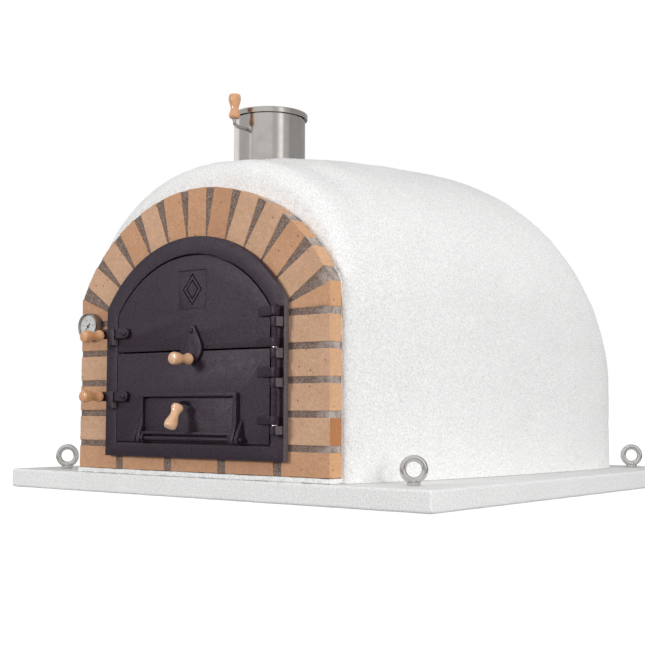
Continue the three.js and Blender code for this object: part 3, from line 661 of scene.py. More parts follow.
def boolean(body, tools, operation):
    """Joins or cuts a bmesh with other bmeshes, which are used up."""
    objects = []
    for bm in [body, *tools]:
        mesh = bpy.data.meshes.new("tool")
        bm.to_mesh(mesh)
        bm.free()
        objects.append(placed("tool", mesh))
    for tool in objects[1:]:
        modifier = objects[0].modifiers.new("boolean", "BOOLEAN")
        modifier.object = tool
        modifier.operation = operation
        modifier.solver = "EXACT"
    evaluated = objects[0].evaluated_get(bpy.context.evaluated_depsgraph_get())
    result = bmesh.new()
    result.from_mesh(evaluated.to_mesh())
    evaluated.to_mesh_clear()
    for thing in objects:
        mesh = thing.data
        bpy.data.objects.remove(thing)
        bpy.data.meshes.remove(mesh)
    return result


def join(body, *tools):
    return boolean(body, tools, "UNION")


def cut(body, *tools):
    return boolean(body, tools, "DIFFERENCE")


def piece(name, bm, look, body=BODY, replaces=(), sharp=32):
    """Turns a bmesh in drawing millimetres into a finished object that rides on a body."""
    bm.transform(TO_ROW)
    mesh = bpy.data.meshes.new(name)
    bm.to_mesh(mesh)
    bm.free()
    mesh.shade_smooth()
    mesh.set_sharp_from_angle(angle=radians(sharp))
    mesh.materials.append(MATERIALS[look])
    made = placed(name, mesh)
    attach(made, body)
    if replaces:
        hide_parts(*replaces)
    return made


def dress(look, *nodes):
    """Gives CAD nodes that keep their own shape a finished material."""
    for node in nodes:
        data = frame["nodes"][node].data
        data.materials.clear()
        data.materials.append(MATERIALS[look])


# ---- dome
DOME = SimpleNamespace(half=454, height=703, start=40, end=1066, narrow=0.229, narrow_run=312,
                       dip=0.114, dip_run=318, width_ease=658, width_power=5.65, width_root=4.5,
                       crown_ease=563, crown_power=3.1, crown_root=1.34, wall_share=0.5055,
                       arch_power=2.16, lip_run=34, lip_width=12, lip_height=40)
# BASE is every layer's foot above the slab; the insets below count inwards from the render's face.
BASE = 0.3
SHELL, VAULT_OUT, VAULT_IN = 20, 56.5, 105
THROAT = dict(half=240, spring=335, top=466)
MOUTH = dict(half=205, spring=320, top=431)
MOUTH_START, MOUTH_END = 57.5, 146.5


def section(depth, inset):
    """Half width and crown height of the dome layer that lies inset inside the render."""
    end = DOME.end - inset
    run = depth - DOME.start - inset
    side = min(max((depth - DOME.width_ease) / (end - DOME.width_ease), 0), 1)
    crown = min(max((depth - DOME.crown_ease) / (end - DOME.crown_ease), 0), 1)
    lip = max(0.0, 1 - run / DOME.lip_run)
    shoulder = 1 - sqrt(1 - lip ** 2)
    taper = 1 - DOME.narrow * exp(-run / DOME.narrow_run)
    dip = 1 - DOME.dip * exp(-run / DOME.dip_run)
    close_side = (1 - side ** DOME.width_power) ** (1 / DOME.width_root)
    close_crown = (1 - crown ** DOME.crown_power) ** (1 / DOME.crown_root)
    width = (DOME.half - inset) * taper * close_side - DOME.lip_width * shoulder
    height = (DOME.height - inset) * dip * close_crown - DOME.lip_height * shoulder
    return width, height


def on_walls(half, spring, curve, depth, walls):
    """Points of an upright wall, a curve and an upright wall, from the right foot to the left foot."""
    right = [(half, BASE + (spring - BASE) * i / walls) for i in range(walls)]
    left = [(-half, spring + (BASE - spring) * i / walls) for i in range(1, walls + 1)]
    return [Vector((x, depth, z)) for x, z in right + curve + left]


def dome_ring(depth, inset, walls, arcs):
    """Outline of one dome layer at a depth: a superellipse arch over upright walls."""
    width, crown = section(depth, inset)
    wall, power = max(DOME.wall_share * crown, BASE + 1), DOME.arch_power
    curve = []
    for i in range(arcs + 1):
        angle = pi * i / arcs
        c, s = cos(angle), sin(angle)
        r = (abs(c) ** power + abs(s) ** power) ** (-1 / power)
        curve.append((width * r * c, wall + (crown - wall) * r * s))
    return on_walls(width, wall, curve, depth, walls)


def arch_ring(depth, walls, arcs, half, spring, top):
    """A circular arch with as many points as a dome ring."""
    return on_walls(half, spring, arch(half, BASE, spring, top, arcs)[2:], depth, walls)


def dome_depths(inset, stations, lip_stations):
    """Depths from the front to the back, close together on the lip and at the rear."""
    start, end = DOME.start + inset, DOME.end - inset
    lip_end = start + DOME.lip_run
    depths = [start + (lip_end - start) * (1 - cos(pi / 2 * i / lip_stations))
              for i in range(lip_stations)]
    for i in range(stations + 1):
        t = i / stations
        eased = t if t < 0.5 else 0.5 + 0.4997 * sin((t - 0.5) * pi)
        depths.append(lip_end + (end - lip_end) * eased)
    return depths


def closed_sheet(rings):
    """Solid wall: rings with equal counts, run over the outside, round the front and back inside."""
    bm = bmesh.new()
    rows = [[bm.verts.new(point) for point in ring] for ring in rings]
    skin(bm, rows, wrap=False)
    bm.faces.new(rows[0])
    bm.faces.new(rows[-1][::-1])
    bm.faces.new([row[0] for row in rows] + [row[-1] for row in reversed(rows)])
    return outward(bm)


FACADE = SimpleNamespace(half=333, bottom=10, spring=365, top=567.6, face=7, back=57)
FLUE_Y = 226.6
ROOM_BACK = DOME.start + SHELL + 2
# Shallow trough left by the float behind the facade; it fades in over a rise above its low end.
VALLEY = SimpleNamespace(depth=135, width=34, fall=3.6, low=330, rise=160)
# Render this near to the bricks, or this near to the slab, is evened out or left alone.
BRICK_MARGIN, FOOT = 4, 4


def roughcast(bm, coarse, fine):
    """Uneven thickness of render put on by hand, along the surface's own normals."""
    bm.normal_update()
    moves = []
    for vertex in bm.verts:
        place = vertex.co
        lift = coarse * (noise.noise(place / 70) - 0.5) + fine * (noise.noise(place / 12) - 0.5)
        trough = exp(-((place.y - VALLEY.depth) / VALLEY.width) ** 2)
        lift -= VALLEY.fall * trough * min(max((place.z - VALLEY.low) / VALLEY.rise, 0), 1)
        in_room = place.y < ROOM_BACK + 1 and place.z < FACADE.top + BRICK_MARGIN
        if in_room and abs(vertex.normal.y) < 0.3 and abs(place.x) < FACADE.half + BRICK_MARGIN:
            lift = 1.2 * noise.noise(place / 15) + 0.6 * noise.noise(place / 5)
        moves.append(vertex.normal * lift if place.z > FOOT else Vector())
    for vertex, move in zip(bm.verts, moves):
        vertex.co += move


def outer_shell():
    """The render with its round cut for the flue, and the bed under the facade."""
    walls, arcs = 64, 300
    outside = [dome_ring(depth, 0, walls, arcs) for depth in reversed(dome_depths(0, 190, 12))]
    room = [arch_ring(depth, walls, arcs, FACADE.half - 1.6, FACADE.spring, FACADE.top - 2.6)
            for depth in (DOME.start, ROOM_BACK)]
    inside = [dome_ring(depth, SHELL, walls, arcs)
              for depth in dome_depths(SHELL, 24, 2) if depth > ROOM_BACK]
    bm = closed_sheet(outside + room + inside)
    roughcast(bm, 1.8, 0.9)
    bm = cut(bm, rod("z", 0, FLUE_Y, 500, 900, 75.3, 0, 96))
    piece("render_shell", bm, "render", replaces=["outer_shell"], sharp=60)
    bed = worn_block([(-336, -0.4), (336, -0.4), (336, 9.8), (-336, 9.8)], 4.5, 57, spacing=5,
                     radius=2.6, wear=1.0, wave=0.8)
    piece("facade_bed", bed, "render")


def vault():
    """Refractory vault with its throat, its mouth and the duct under the flue."""
    walls, arcs = 16, 56
    outside = [dome_ring(depth, VAULT_OUT, walls, arcs)
               for depth in reversed(dome_depths(VAULT_OUT, 24, 4))]
    first = DOME.start + VAULT_OUT
    throat = [arch_ring(depth, walls, arcs, **THROAT) for depth in (first, MOUTH_START)]
    mouth = [arch_ring(depth, walls, arcs, **MOUTH) for depth in (MOUTH_START, MOUTH_END)]
    inside = [dome_ring(depth, VAULT_IN, walls, arcs)
              for depth in dome_depths(VAULT_IN, 40, 4) if depth > MOUTH_END - 0.5]
    bm = closed_sheet(outside + throat + mouth + inside)
    bm = cut(bm, rod("z", 0, FLUE_Y, 560, 900, 75.8, 0, 48), rod("z", 0, FLUE_Y, 400, 900, 69.5, 0, 48))
    piece("vault", bm, "refractory", replaces=["inner_vault"], sharp=50)


def slab():
    """Cast slab with rounded, slightly uneven edges."""
    low, high = drawn_box("base_slab")
    corners = [(low.x, low.z), (high.x, low.z), (high.x, high.z), (low.x, high.z)]
    bm = worn_block(corners, low.y, high.y, spacing=11, radius=4.2, wear=0.5, wave=0.5)
    piece("slab", bm, "slab", replaces=["base_slab"], sharp=60)


# ---- facade
ARCH_AXIS = 200.5
MORTAR_INSIDE = dict(half=223, bottom=67, spring=338, top=452)
LAID_TONES = {"arch": "light light middle light middle middle dark light light middle light",
              "left_jamb": "light middle light middle dark",
              "right_jamb": "burnt_end light light light middle",
              "sill": "middle middle dark dark middle"}


def face_corners(node):
    """The four (x, z) corners of a brick's face, turned the way the brick lies."""
    low, high = drawn_box(node)
    middle = (low + high) / 2
    along = Vector((1, 0, 0))
    if node.startswith("arch"):
        along = Vector((middle.x, 0, middle.z - ARCH_AXIS)).normalized()
    up = Vector((-along.z, 0, along.x))
    points = [TO_DRAWING @ vertex.co for vertex in frame["nodes"][node].data.vertices]
    face = [point for point in points if point.y < low.y + 1]
    corners = []
    for a, b in ((-1, -1), (1, -1), (1, 1), (-1, 1)):
        best = max(face, key=lambda point: point.dot(a * along + b * up))
        corners.append((best.x, best.z))
    return corners, low.y, high.y


def facade_bricks():
    """Every brick in its own tone, with edges worn in its own way."""
    for part, tones in LAID_TONES.items():
        for number, tone in enumerate(tones.split(), 1):
            node = f"{part}_brick_{number}"
            bm = worn_block(*face_corners(node), spacing=4.2, radius=1.1, wear=1.5, wave=0.35)
            piece(f"{node}_fired", bm, f"brick_{tone}", replaces=[node], sharp=60)


def densify(outline, counts):
    """Splits every side of a closed outline into its own number of equal steps."""
    dense = []
    for i, count in enumerate(counts):
        a, b = Vector(outline[i]), Vector(outline[(i + 1) % len(outline)])
        dense += [a.lerp(b, step / count) for step in range(count)]
    return dense


def facade_mortar():
    """One uneven ring of mortar that the bricks are bedded in."""
    outer = arch(FACADE.half - 1.5, FACADE.bottom, FACADE.spring, FACADE.top - 1.5, 60)
    inner = arch(**MORTAR_INSIDE, steps=60)
    counts = [max(1, round((Vector(outer[i]) - Vector(outer[(i + 1) % len(outer)])).length / 3.2))
              for i in range(len(outer))]
    outer, inner = densify(outer, counts), densify(inner, counts)
    across, through = 32, 14
    front, back = FACADE.face + 2, FACADE.back
    bm = bmesh.new()
    loops = [[(a.lerp(b, i / across), front) for a, b in zip(outer, inner)] for i in range(across + 1)]
    loops += [[(point, front + (back - front) * i / through) for point in inner]
              for i in range(1, through + 1)]
    loops += [[(a, back) for a in outer]]
    loops += [[(point, back - (back - front) * i / through) for point in outer]
              for i in range(1, through)]
    rows = [[bm.verts.new((point.x, depth, point.y)) for point, depth in loop] for loop in loops]
    skin(bm, rows + rows[:1])
    outside = {vertex for row in [rows[0], *rows[across + through + 1:]] for vertex in row}
    outward(bm).normal_update()
    for vertex in bm.verts:
        place = vertex.co
        lift = 0.9 * (noise.noise(place / 11) - 0.2) + 0.7 * noise.noise(place / 4)
        if vertex in outside:
            lift = -abs(lift)
        vertex.co = place + vertex.normal * lift
    piece("mortar_bed", bm, "mortar", replaces=["facade_mortar"], sharp=60)


# ---- door
DOOR_FACE = -7
FRAME = dict(half=238, bottom=37, spring=335, top=468.5)
SPIGOT = dict(half=221, bottom=67.6, spring=336, top=450)
FRAME_BACK = 6.7
LEAF = dict(half=204, bottom=67, spring=320.6, top=430.7)
LEAF_THICK, LEAF_GAP, SEAM, SEAM_HALF = 8, 3, 245, 1.5
HINGE_X, HINGE_Y, KNUCKLE, HINGE_BORE = 227, -19, 8.5, 4.3
UPPER_LUGS = [(302.5, 319.5), (245.6, 262)]
LOWER_LUGS = [(190.5, 208), (104, 119)]
FRAME_LUGS = [(282.5, 300.5), (225, 243), (172, 188.6), (86, 101.5)]
LATCH_X = -177
LATCH_HEIGHTS = {"upper": 285, "lower": 157}
PIN_HOLE = 4.3
EDGE = 1.1


def on_hinge(z0, z1, radius, bevel):
    """A round piece or cutter on the hinge's axis."""
    return rod("z", HINGE_X, HINGE_Y, z0, z1, radius, bevel)


def hinge_hole(z0=60, z1=340):
    return on_hinge(z0, z1, HINGE_BORE, 0)


def rivet_hole(x, z):
    """Cutter along the depth, long enough for a leaf with all that stands on it."""
    return rod("y", x, z, -40, 20, PIN_HOLE, 0)


def flap_pin_hole():
    return rod("x", FLAP_PIN_Y, FLAP_PIN_Z, -200, 200, PIN_HOLE, 0)


def grown(outline, by):
    """An arch outline offset outwards all round."""
    return dict(half=outline["half"] + by, bottom=outline["bottom"] - by, spring=outline["spring"],
                top=outline["top"] + by)


def keeper(height):
    """Ledge under the lever and a front lip that holds the lever in."""
    x0, x1, out, low = -222, -206, DOOR_FACE - 13, height - 24
    ledge = block(x0, x1, out, DOOR_FACE + 2, low, height - 11.2, 1.2)
    return join(ledge, block(x0, x1, out, DOOR_FACE - 9.2, low, height + 10.5, 1.2))


def door_frame():
    """Face, stop, spigot into the throat, keepers and hinge lugs."""
    face = ring_prism(arch(**FRAME), arch(**grown(LEAF, LEAF_GAP)), DOOR_FACE, FRAME_BACK, 1.4)
    stop = ring_prism(arch(**grown(LEAF, 6)), arch(**grown(LEAF, -9)), 1.6, FRAME_BACK, 0.6)
    spigot = ring_prism(arch(**SPIGOT), arch(**grown(SPIGOT, -8)), 5, 45, 0.6)
    parts = [stop, spigot, *[keeper(height) for height in LATCH_HEIGHTS.values()]]
    for z0, z1 in FRAME_LUGS:
        strap = block(HINGE_X - 6.5, HINGE_X + 8.4, HINGE_Y, DOOR_FACE + 2, z0, z1, EDGE)
        parts.append(cut(join(on_hinge(z0, z1, KNUCKLE, EDGE), strap),
                         hinge_hole(z0 - 1, z1 + 1)))
    # The frame's faces turned to the right carry painted light: a lighter grey as if lit from the right.
    piece("frame_casting", join(face, *parts), "rubbed_iron", replaces=["door_frame"])


def leaf_lug(z0, z1):
    """Tapering strap that carries a leaf out to its knuckle."""
    outline = [(176, DOOR_FACE + 0.5), (176, DOOR_FACE - 2.5), (HINGE_X - 14, HINGE_Y - 3),
               (HINGE_X, HINGE_Y - KNUCKLE + 0.3), (HINGE_X, HINGE_Y + KNUCKLE - 1),
               (HINGE_X - 14, DOOR_FACE - 1.5), (203, DOOR_FACE - 1.5), (202, DOOR_FACE + 0.5)]
    return join(extrude(outline, "z", z0, z1, 0.7), on_hinge(z0, z1, KNUCKLE, EDGE))


def plaque():
    """Plain raised panel with two nested diamonds cut into it around a small boss."""
    x0, x1, z0, z1 = -31, 42, 326, 402
    cx, cz = (x0 + x1) / 2, (z0 + z1) / 2
    out = DOOR_FACE - 0.7
    panel = block(x0, x1, out, DOOR_FACE + 1, z0, z1, 0.4)

    def rhombus(reach):
        return [(cx + reach * 0.8 * dx, cz + reach * dz) for dx, dz in ((0, -1), (1, 0), (0, 1), (-1, 0))]

    grooves = [ring_prism(rhombus(reach), rhombus(reach - 3.6), out - 2, DOOR_FACE + 2.6)
               for reach in (32, 20)]
    grooves.append(block(x0 + 1, x1 - 1, out - 2, DOOR_FACE + 1.6, z1 - 2.6, z1 - 0.4, 0))
    boss = rod("y", cx, cz, out - 0.5, out + 0.5, 4, 0.3)
    return [panel, boss], grooves


def upper_leaf():
    """Arched half of the door with its raised panel."""
    shape = {**LEAF, "bottom": SEAM + SEAM_HALF}
    plate = extrude(arch(**shape), "y", DOOR_FACE, DOOR_FACE + LEAF_THICK, EDGE)
    raised, grooves = plaque()
    bm = join(plate, *raised, *[leaf_lug(z0, z1) for z0, z1 in UPPER_LUGS])
    bm = cut(bm, *grooves, hinge_hole(), rivet_hole(LATCH_X, LATCH_HEIGHTS["upper"]),
             rivet_hole(CATCH_X, CATCH_PIN))
    piece("upper_leaf_casting", bm, "cast_iron", "upper_leaf", ["upper_leaf"])


FLAP_HALF, FLAP_BOTTOM, FLAP_TOP, FLAP_FACE = 119.5, 82, 155, 3
LIP_TOP, LIP_OUT, EAR_WIDTH = 88, 12.5, 7
RIM_IN, RIM_OUT, RIM_FOOT, RIM_TOP, RIM_PROUD = 120.5, 129.5, 84, 163, 8.6
FLAP_PIN_Y, FLAP_PIN_Z = DOOR_FACE - 10, 75


def pin_web(x0, x1, proud, top):
    """Upright web that carries the flap's rod; it starts proud out of the leaf."""
    tip = FLAP_PIN_Y - 7
    return extrude([(DOOR_FACE + 1, 68), (tip, 68), (tip, 78), (DOOR_FACE - proud, top),
                    (DOOR_FACE + 1, top)], "x", x0, x1, 0.9)


def lower_leaf():
    """Half a door with the draft opening, the rim round the flap and the webs for its rod."""
    low, seam = LEAF["bottom"], SEAM - SEAM_HALF
    plate = block(-LEAF["half"], LEAF["half"], DOOR_FACE, DOOR_FACE + LEAF_THICK, low, seam, EDGE)
    rim_face = DOOR_FACE - RIM_PROUD
    rim = [block(-RIM_OUT, RIM_OUT, rim_face, DOOR_FACE + 1, FLAP_TOP + 1, RIM_TOP, 1.0)]
    webs = []
    for inner, outer, proud, top in ((RIM_IN, RIM_OUT, RIM_PROUD, 102), (132, 140, 1, 112)):
        webs += [pin_web(inner, outer, proud, top), pin_web(-outer, -inner, proud, top)]
    for x0, x1 in ((-RIM_OUT, -RIM_IN), (RIM_IN, RIM_OUT)):
        rim.append(block(x0, x1, rim_face, DOOR_FACE + 1, RIM_FOOT, RIM_TOP - 3, 1.0))
    bm = join(plate, *rim, *webs, *[leaf_lug(z0, z1) for z0, z1 in LOWER_LUGS])
    opening = block(-110, 110, -40, 40, 94, 147, 0)
    shadow_gap = block(-RIM_IN + 0.6, RIM_IN - 0.6, DOOR_FACE - 1, DOOR_FACE + 3.5, 149.5, 155.5, 0)
    bm = cut(bm, opening, shadow_gap, hinge_hole(), flap_pin_hole(),
             rivet_hole(LATCH_X, LATCH_HEIGHTS["lower"]))
    piece("lower_leaf_casting", bm, "cast_iron", "lower_leaf", ["lower_leaf"])


def hinge_rod():
    """One rod with its head, and two washers between the knuckles."""
    foot, head = 83, 323
    bm = join(on_hinge(foot, head - 1, 4, 0.8), on_hinge(head - 4, head, 6, 1.2))
    piece("hinge_rod", bm, "cast_iron", replaces=["hinge_pin"])
    for name, z0, z1 in (("middle", 243.4, 245.2), ("low", 101.9, 103.6)):
        piece(f"hinge_washer_{name}", on_hinge(z0, z1, 6.2, 0.4), "lifting_steel")


LEVER_FRONT, LEVER_BACK = DOOR_FACE - 8, DOOR_FACE - 3
GRIP_X, STUD = -244, 36
GRIP_SAG = {"upper": 2.5, "lower": 0}
GRIP_DROOP = {"upper": radians(6), "lower": 0}


def rivet(name, x, z, front, body, node):
    """Domed rivet head and its shank through the leaf."""
    back, head = DOOR_FACE + 7, 5.5
    length = back - (front - 0.3)
    dome = [(head * cos(pi / 2 * i / 8), length + 0.8 + 2.4 * sin(pi / 2 * i / 8)) for i in range(8)]
    profile = [(0, 0), (4, 0), (4, length), (head, length), *dome, (0, length + 3.2)]
    piece(name, lathe(profile, (x, back, z), (0, -1, 0), 40), "cast_iron", body, [node])


def latch(place):
    """Lever on its rivet, with the stud that carries the grip."""
    z = LATCH_HEIGHTS[place]
    bar = extrude(stadium(LATCH_X, z, 10.5, -248, z, 10), "y", LEVER_FRONT, LEVER_BACK, 1.2)
    boss = rod("y", LATCH_X, z, LEVER_FRONT - 0.2, DOOR_FACE - 0.4, 7.4, 0.3)
    droop = GRIP_DROOP[place]
    direction = Vector((0, -cos(droop), -sin(droop)))
    clear = 0.3 + 9 * sin(droop)
    base = Vector((GRIP_X, LEVER_FRONT - clear, z - GRIP_SAG[place]))
    length = clear + 1 + STUD
    stud = lathe([(0, 0), (3, 0), (3, length), (0, length)], base - direction * (clear + 1), direction, 32)
    collar = rod("y", LATCH_X, z, LEVER_FRONT - 0.9, LEVER_FRONT + 1, 8.4, 0.5)
    bm = cut(join(bar, boss, stud, collar), rivet_hole(LATCH_X, z))
    body = f"{place}_latch"
    piece(f"{place}_lever", bm, "cast_iron", body, [f"{body}_lever"])
    rivet(f"{place}_rivet", LATCH_X, z, LEVER_FRONT - 0.9, f"{place}_leaf", f"{body}_pin")
    grip(f"{body}_handle", base, direction, "beech_warm", body, f"{body}_grip")


CATCH_X, CATCH_PIN, CATCH_FOOT, CATCH_GRIP = 8, 283.5, 249, 228
CATCH_FRONT = DOOR_FACE - 6


def catch():
    """Pear-shaped plate that hangs over the seam between the leaves."""
    plate = extrude(stadium(CATCH_X, CATCH_PIN, 11, CATCH_X, CATCH_FOOT, 28, 40), "y", CATCH_FRONT,
                    DOOR_FACE - 1, 1.2)
    stud = rod("y", CATCH_X, CATCH_GRIP, CATCH_FRONT - STUD, CATCH_FRONT + 1, 3, 0.4)
    bm = cut(join(plate, stud), rivet_hole(CATCH_X, CATCH_PIN))
    piece("catch_casting", bm, "cast_iron", "catch", ["catch_plate"])
    rivet("catch_rivet", CATCH_X, CATCH_PIN, CATCH_FRONT, "upper_leaf", "catch_pin")
    grip("catch_handle", (CATCH_X, CATCH_FRONT - 0.3, CATCH_GRIP), (0, -1, 0), "beech_plain", "catch",
         "catch_grip")


GRIP_PROFILE = [(7.4, 0), (10.2, 1.6), (11.7, 5), (11.5, 9), (9.7, 13.6), (8.5, 18.5), (8.7, 24),
                (10.4, 30), (12.1, 36), (12.7, 41), (12.2, 46), (10.4, 49.6), (6.5, 50.8)]


def grip(name, base, direction, wood, body, node):
    """Turned wooden grip on its stud: a small bead, a waist and a long swell."""
    swell = [(point.x, point.y) for point in smooth_path([(r, along, 0) for r, along in GRIP_PROFILE], 5)]
    profile = [(0, 38), (3.6, 38), (3.6, 0.4), (4.4, 0)] + swell + [(0, 51)]
    bm = lathe(profile, base, direction, 56)
    piece(name, bm, wood, body, [node], sharp=45)


KNOB_X, KNOB_Z, KNOB_OUT, KNOB_TILT, HOOK = -2, 144, 24, radians(28), 3.5


def draft_flap():
    """Plate with a lip, two ears on the rod and a bent hook that carries the grip."""
    face, back = DOOR_FACE - FLAP_FACE, DOOR_FACE - 0.3
    parts = [block(-FLAP_HALF, FLAP_HALF, DOOR_FACE - LIP_OUT, face + 1, FLAP_BOTTOM, LIP_TOP, 1.4)]
    for sign in (-1, 1):
        x0, x1 = sorted((sign * (FLAP_HALF - EAR_WIDTH), sign * FLAP_HALF))
        parts.append(block(x0, x1, FLAP_PIN_Y - 4, FLAP_PIN_Y + 4, FLAP_PIN_Z, FLAP_BOTTOM + 1, 0.8))
        parts.append(rod("x", FLAP_PIN_Y, FLAP_PIN_Z, x0, x1, 6.8, 0.9))
    direction = Vector((0, -sin(KNOB_TILT), -cos(KNOB_TILT)))
    base = Vector((KNOB_X, face - KNOB_OUT, KNOB_Z - 4))
    parts.append(tube([(KNOB_X, face + 2, KNOB_Z), (KNOB_X, face - 12, KNOB_Z + 0.5),
                       (KNOB_X, face - 20, KNOB_Z - 0.5), base + direction * 2, base + direction * 14,
                       base + direction * 34], HOOK))
    parts.append(rod("y", KNOB_X, KNOB_Z, face - 2, face + 1, 5.2, 0.8))
    plate = block(-FLAP_HALF + 1, FLAP_HALF - 1, face, back, FLAP_BOTTOM, FLAP_TOP - 3, 0.9)
    bm = cut(join(plate, *parts), flap_pin_hole())
    piece("flap_casting", bm, "cast_iron", "draft_flap", ["draft_flap"])
    pin = rod("x", FLAP_PIN_Y, FLAP_PIN_Z, -147, 147, 4, 0.8)
    piece("flap_rod", pin, "cast_iron", "lower_leaf", ["flap_pin"])
    grip("flap_handle", base, direction, "beech_pale", "draft_flap", "flap_grip")


# ---- thermometer
GAUGE_X, GAUGE_Z, GAUGE_RADIUS = -297, 303.6, 28.5
GAUGE_FRONT = FACADE.face - 18.5
DIAL_FACE = GAUGE_FRONT + 5.5
SCALE_START, SCALE_SWEEP, SCALE_MAX = 225, 270, 500


def turned(name, profile, depth, look, replaces=(), closed=False):
    """A round part of the gauge; its profile counts forwards from depth."""
    bm = lathe(profile, (GAUGE_X, depth, GAUGE_Z), (0, -1, 0), 72, closed)
    piece(name, bm, look, replaces=replaces)


def dial_point(angle, radius, depth):
    turn = radians(angle)
    return (GAUGE_X + radius * cos(turn), depth, GAUGE_Z + radius * sin(turn))


def dial_marks():
    """Scale strokes: long every hundred degrees, short every twenty."""
    bm = bmesh.new()
    for step in range(SCALE_MAX // 20 + 1):
        angle = SCALE_START - SCALE_SWEEP * step * 20 / SCALE_MAX
        major = step % 5 == 0
        inner, outer, half = (18.4, 23.2, 0.38) if major else (20.8, 23.2, 0.2)
        turn = radians(angle)
        side = Vector((-sin(turn), 0, cos(turn))) * half
        ends = [Vector(dial_point(angle, radius, DIAL_FACE - 0.12)) for radius in (inner, outer)]
        corners = [ends[0] - side, ends[1] - side, ends[1] + side, ends[0] + side]
        front = [bm.verts.new(corner) for corner in corners]
        back = [bm.verts.new(corner + Vector((0, 0.1, 0))) for corner in corners]
        bm.faces.new(front)
        bm.faces.new(back[::-1])
        skin(bm, [back, front])
    return outward(bm)


def dial_numbers():
    for value in range(0, SCALE_MAX + 1, 100):
        curve = bpy.data.curves.new(f"dial_{value}", "FONT")
        curve.body = str(value)
        curve.size = 5.2 * MM
        curve.align_x, curve.align_y = "CENTER", "CENTER"
        curve.extrude = 0.04 * MM
        figure = placed(f"dial_figure_{value}", curve)
        angle = SCALE_START - SCALE_SWEEP * value / SCALE_MAX
        place = TO_ROW @ Vector(dial_point(angle, 14.4, DIAL_FACE - 0.1))
        figure.matrix_world = Matrix.Translation(place) @ Matrix.Rotation(pi / 2, 4, "X")
        curve.materials.append(MATERIALS["print"])
        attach(figure, BODY)


def thermometer():
    """Case with its probe, bezel, printed dial and glass."""
    foot, probe = FACADE.face - 0.3, FACADE.face - 125
    reach = foot - GAUGE_FRONT
    rim, well = GAUGE_RADIUS, GAUGE_RADIUS - 3
    case = [(0, probe), (2.6, probe), (3, probe + 3), (3, 0), (rim - 1.5, 0), (rim - 0.6, 0.6),
            (rim - 0.6, reach - 5.2), (0, reach - 7.2)]
    turned("gauge_case", case, foot, "gauge_paint", ["thermometer_case"])
    ring = [(rim - 0.5, reach - 5), (rim, reach - 4.4), (rim, reach - 1.6), (rim - 0.5, reach - 0.5),
            (rim - 1.4, reach), (well + 0.4, reach - 0.3), (well, reach - 1.2), (well, reach - 5)]
    turned("gauge_bezel", ring, foot, "stainless", closed=True)
    dial = [(0, 0), (25, 0), (25, 1.1), (24.8, 1.2), (0, 1.2)]
    turned("gauge_dial", dial, DIAL_FACE + 1.2, "dial", ["thermometer_dial"])
    piece("gauge_marks", dial_marks(), "print")
    dial_numbers()
    glass = [(0, 0), (25.2, 0), (25.2, 1.2), (20, 1.6), (10, 1.9), (0, 2)]
    turned("gauge_window", glass, GAUGE_FRONT + 2.5, "gauge_glass", ["thermometer_glass"])
    dress("pointer", "thermometer_needle")


# ---- flue, damper and eye bolts
PIPE_OUT, PIPE_IN, PIPE_FOOT, PIPE_TOP, PIPE_RIM = 75, 73.5, 577, 756.5, 80
DAMPER_Z, DAMPER_ELBOW, DAMPER_GRIP, CRANK = 712, 115, 727, 3.5


def flue():
    """Pipe with a rolled rim that leaves a narrow slit under itself."""
    rim_foot = PIPE_TOP - 11.5
    slit_top, inner = rim_foot + 6, PIPE_RIM - 1.3
    profile = [(PIPE_IN, PIPE_FOOT), (PIPE_OUT, PIPE_FOOT), (PIPE_OUT, slit_top), (inner, slit_top),
               (inner, rim_foot + 0.4), (inner + 0.4, rim_foot), (PIPE_RIM - 0.4, rim_foot),
               (PIPE_RIM, rim_foot + 0.5), (PIPE_RIM, PIPE_TOP - 2.6), (PIPE_RIM - 0.4, PIPE_TOP - 1.2),
               (PIPE_RIM - 1.5, PIPE_TOP - 0.2), (PIPE_RIM - 2.6, PIPE_TOP), (PIPE_IN + 0.8, PIPE_TOP - 0.3),
               (PIPE_IN, PIPE_TOP - 1.4)]
    bm = lathe(profile, (0, FLUE_Y, 0), (0, 0, 1), 128, closed=True)
    bm = cut(bm, rod("y", 0, DAMPER_Z, FLUE_Y - 100, FLUE_Y + 100, 3.9, 0, 32))
    piece("flue", bm, "stainless", replaces=["flue_pipe"])


def damper():
    """Round plate on a cranked spindle."""
    plate = rod("z", 0, FLUE_Y, DAMPER_Z - 1.25, DAMPER_Z + 1.25, 70.5, 0.5, 96)
    front = FLUE_Y - PIPE_OUT - 12
    spindle = rod("y", 0, DAMPER_Z, front, FLUE_Y + PIPE_OUT + 6, CRANK, 0.6)
    crank = tube([(0, front + 4, DAMPER_Z), (0, DAMPER_ELBOW + 12, DAMPER_Z),
                  (0, DAMPER_ELBOW + 2, DAMPER_Z + 3), (0, DAMPER_ELBOW, DAMPER_Z + 12),
                  (0, DAMPER_ELBOW, DAMPER_GRIP + 34)], CRANK)
    piece("damper_plate", join(plate, spindle, crank), "stainless", "damper", ["damper"])
    grip("damper_handle", (0, DAMPER_ELBOW, DAMPER_GRIP), (0, 0, 1), "beech_warm", "damper", "damper_grip")


EYE_RING, EYE_WIRE, EYE_CENTRE, EYE_TURN = 19.4, 6.1, 28, 38


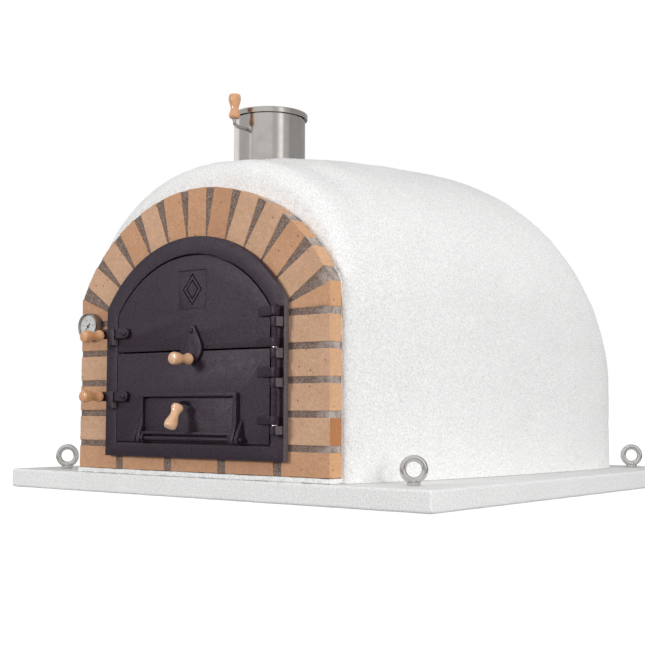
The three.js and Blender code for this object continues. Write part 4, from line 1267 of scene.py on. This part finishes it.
def eye_bolt(node):
    """Forged ring that runs out of a round collar, with its shank in the slab."""
    low, high = drawn_box(node)
    x, y = (low.x + high.x) / 2, (low.y + high.y) / 2
    wire = arc(EYE_RING, 0, EYE_WIRE, 0, tau, 24)[:-1]
    ring = lathe(wire, (0, 0, EYE_CENTRE), (0, 1, 0), 72, closed=True)
    collar = lathe([(0, -28), (5.4, -28), (6, -27), (6, 0.3), (11.8, 0.3), (12.5, 1), (12.5, 4.2),
                    (11.6, 5.4), (9.6, 6.4), (7.8, 8.4), (6.6, 11), (0, 11.6)], (0, 0, 0), (0, 0, 1), 56)
    bm = join(ring, collar)
    bm.transform(Matrix.Translation((x, y, 0)) @ Matrix.Rotation(radians(EYE_TURN), 4, "Z"))
    piece(f"{node}_forged", bm, "lifting_steel", replaces=[node])


# ---- build
def make_materials():
    materials = {
        "render": mineral_material("render", 0.70, 0.985, 1.3), "mortar": mortar_material(),
        "slab": mineral_material("slab", 0.69, 0.925, 0.9),
        # The second iron paints its right-facing faces lighter: painted light from the right.
        "cast_iron": iron_material(), "rubbed_iron": iron_material("rubbed_iron", (0.115, 0.10, 0.108)),
        "gauge_glass": glass_material(),
        "stainless": steel_material("stainless", (0.64, 0.605, 0.575), 0.12, 0.2, (1, 1, 0.03)),
        "lifting_steel": steel_material("lifting_steel", (0.76, 0.74, 0.725), 0.12, 0.28, (1, 1, 1)),
        "dial": plain_material("dial", (0.80, 0.80, 0.78), 0.45),
        "gauge_paint": plain_material("gauge_paint", (0.16, 0.12, 0.10), 0.4),
        "print": plain_material("print", (0.26, 0.26, 0.26), 0.6),
        "pointer": plain_material("pointer", (0.02, 0.02, 0.02), 0.5),
        "refractory": rough_material("refractory", (0.36, 0.28, 0.19), (0.55, 0.45, 0.33), 45, 1.2),
        "ceramic_wool": rough_material("ceramic_wool", (0.72, 0.70, 0.64), (0.85, 0.83, 0.78), 90, 1.0),
    }
    for name, tones in BRICK_TONES.items():
        materials[f"brick_{name}"] = brick_material(name, *tones)
    for name, tint in BEECH_TONES.items():
        materials[f"beech_{name}"] = beech_material(name, tint)
    return materials


make_camera()
KEY_LIGHT = make_lights()
make_floor()
MATERIALS = make_materials()
slab()
outer_shell()
vault()
dress("ceramic_wool", "insulation_blanket", "floor_insulation")
dress("refractory", "hearth_floor")
facade_mortar()
facade_bricks()
door_frame()
hinge_rod()
upper_leaf()
lower_leaf()
for which in LATCH_HEIGHTS:
    latch(which)
catch()
draft_flap()
thermometer()
flue()
damper()
for corner in ("front_left", "front_right", "back_left", "back_right"):
    eye_bolt(f"eye_bolt_{corner}")

BRIGHT_METAL = ("flue", "damper_plate", "gauge_bezel", "eye_bolt_")
keep_off_metal(KEY_LIGHT, [made for made in bpy.data.objects if made.name.startswith(BRIGHT_METAL)
                           and made.visible_get() and made.name not in frame["nodes"]])
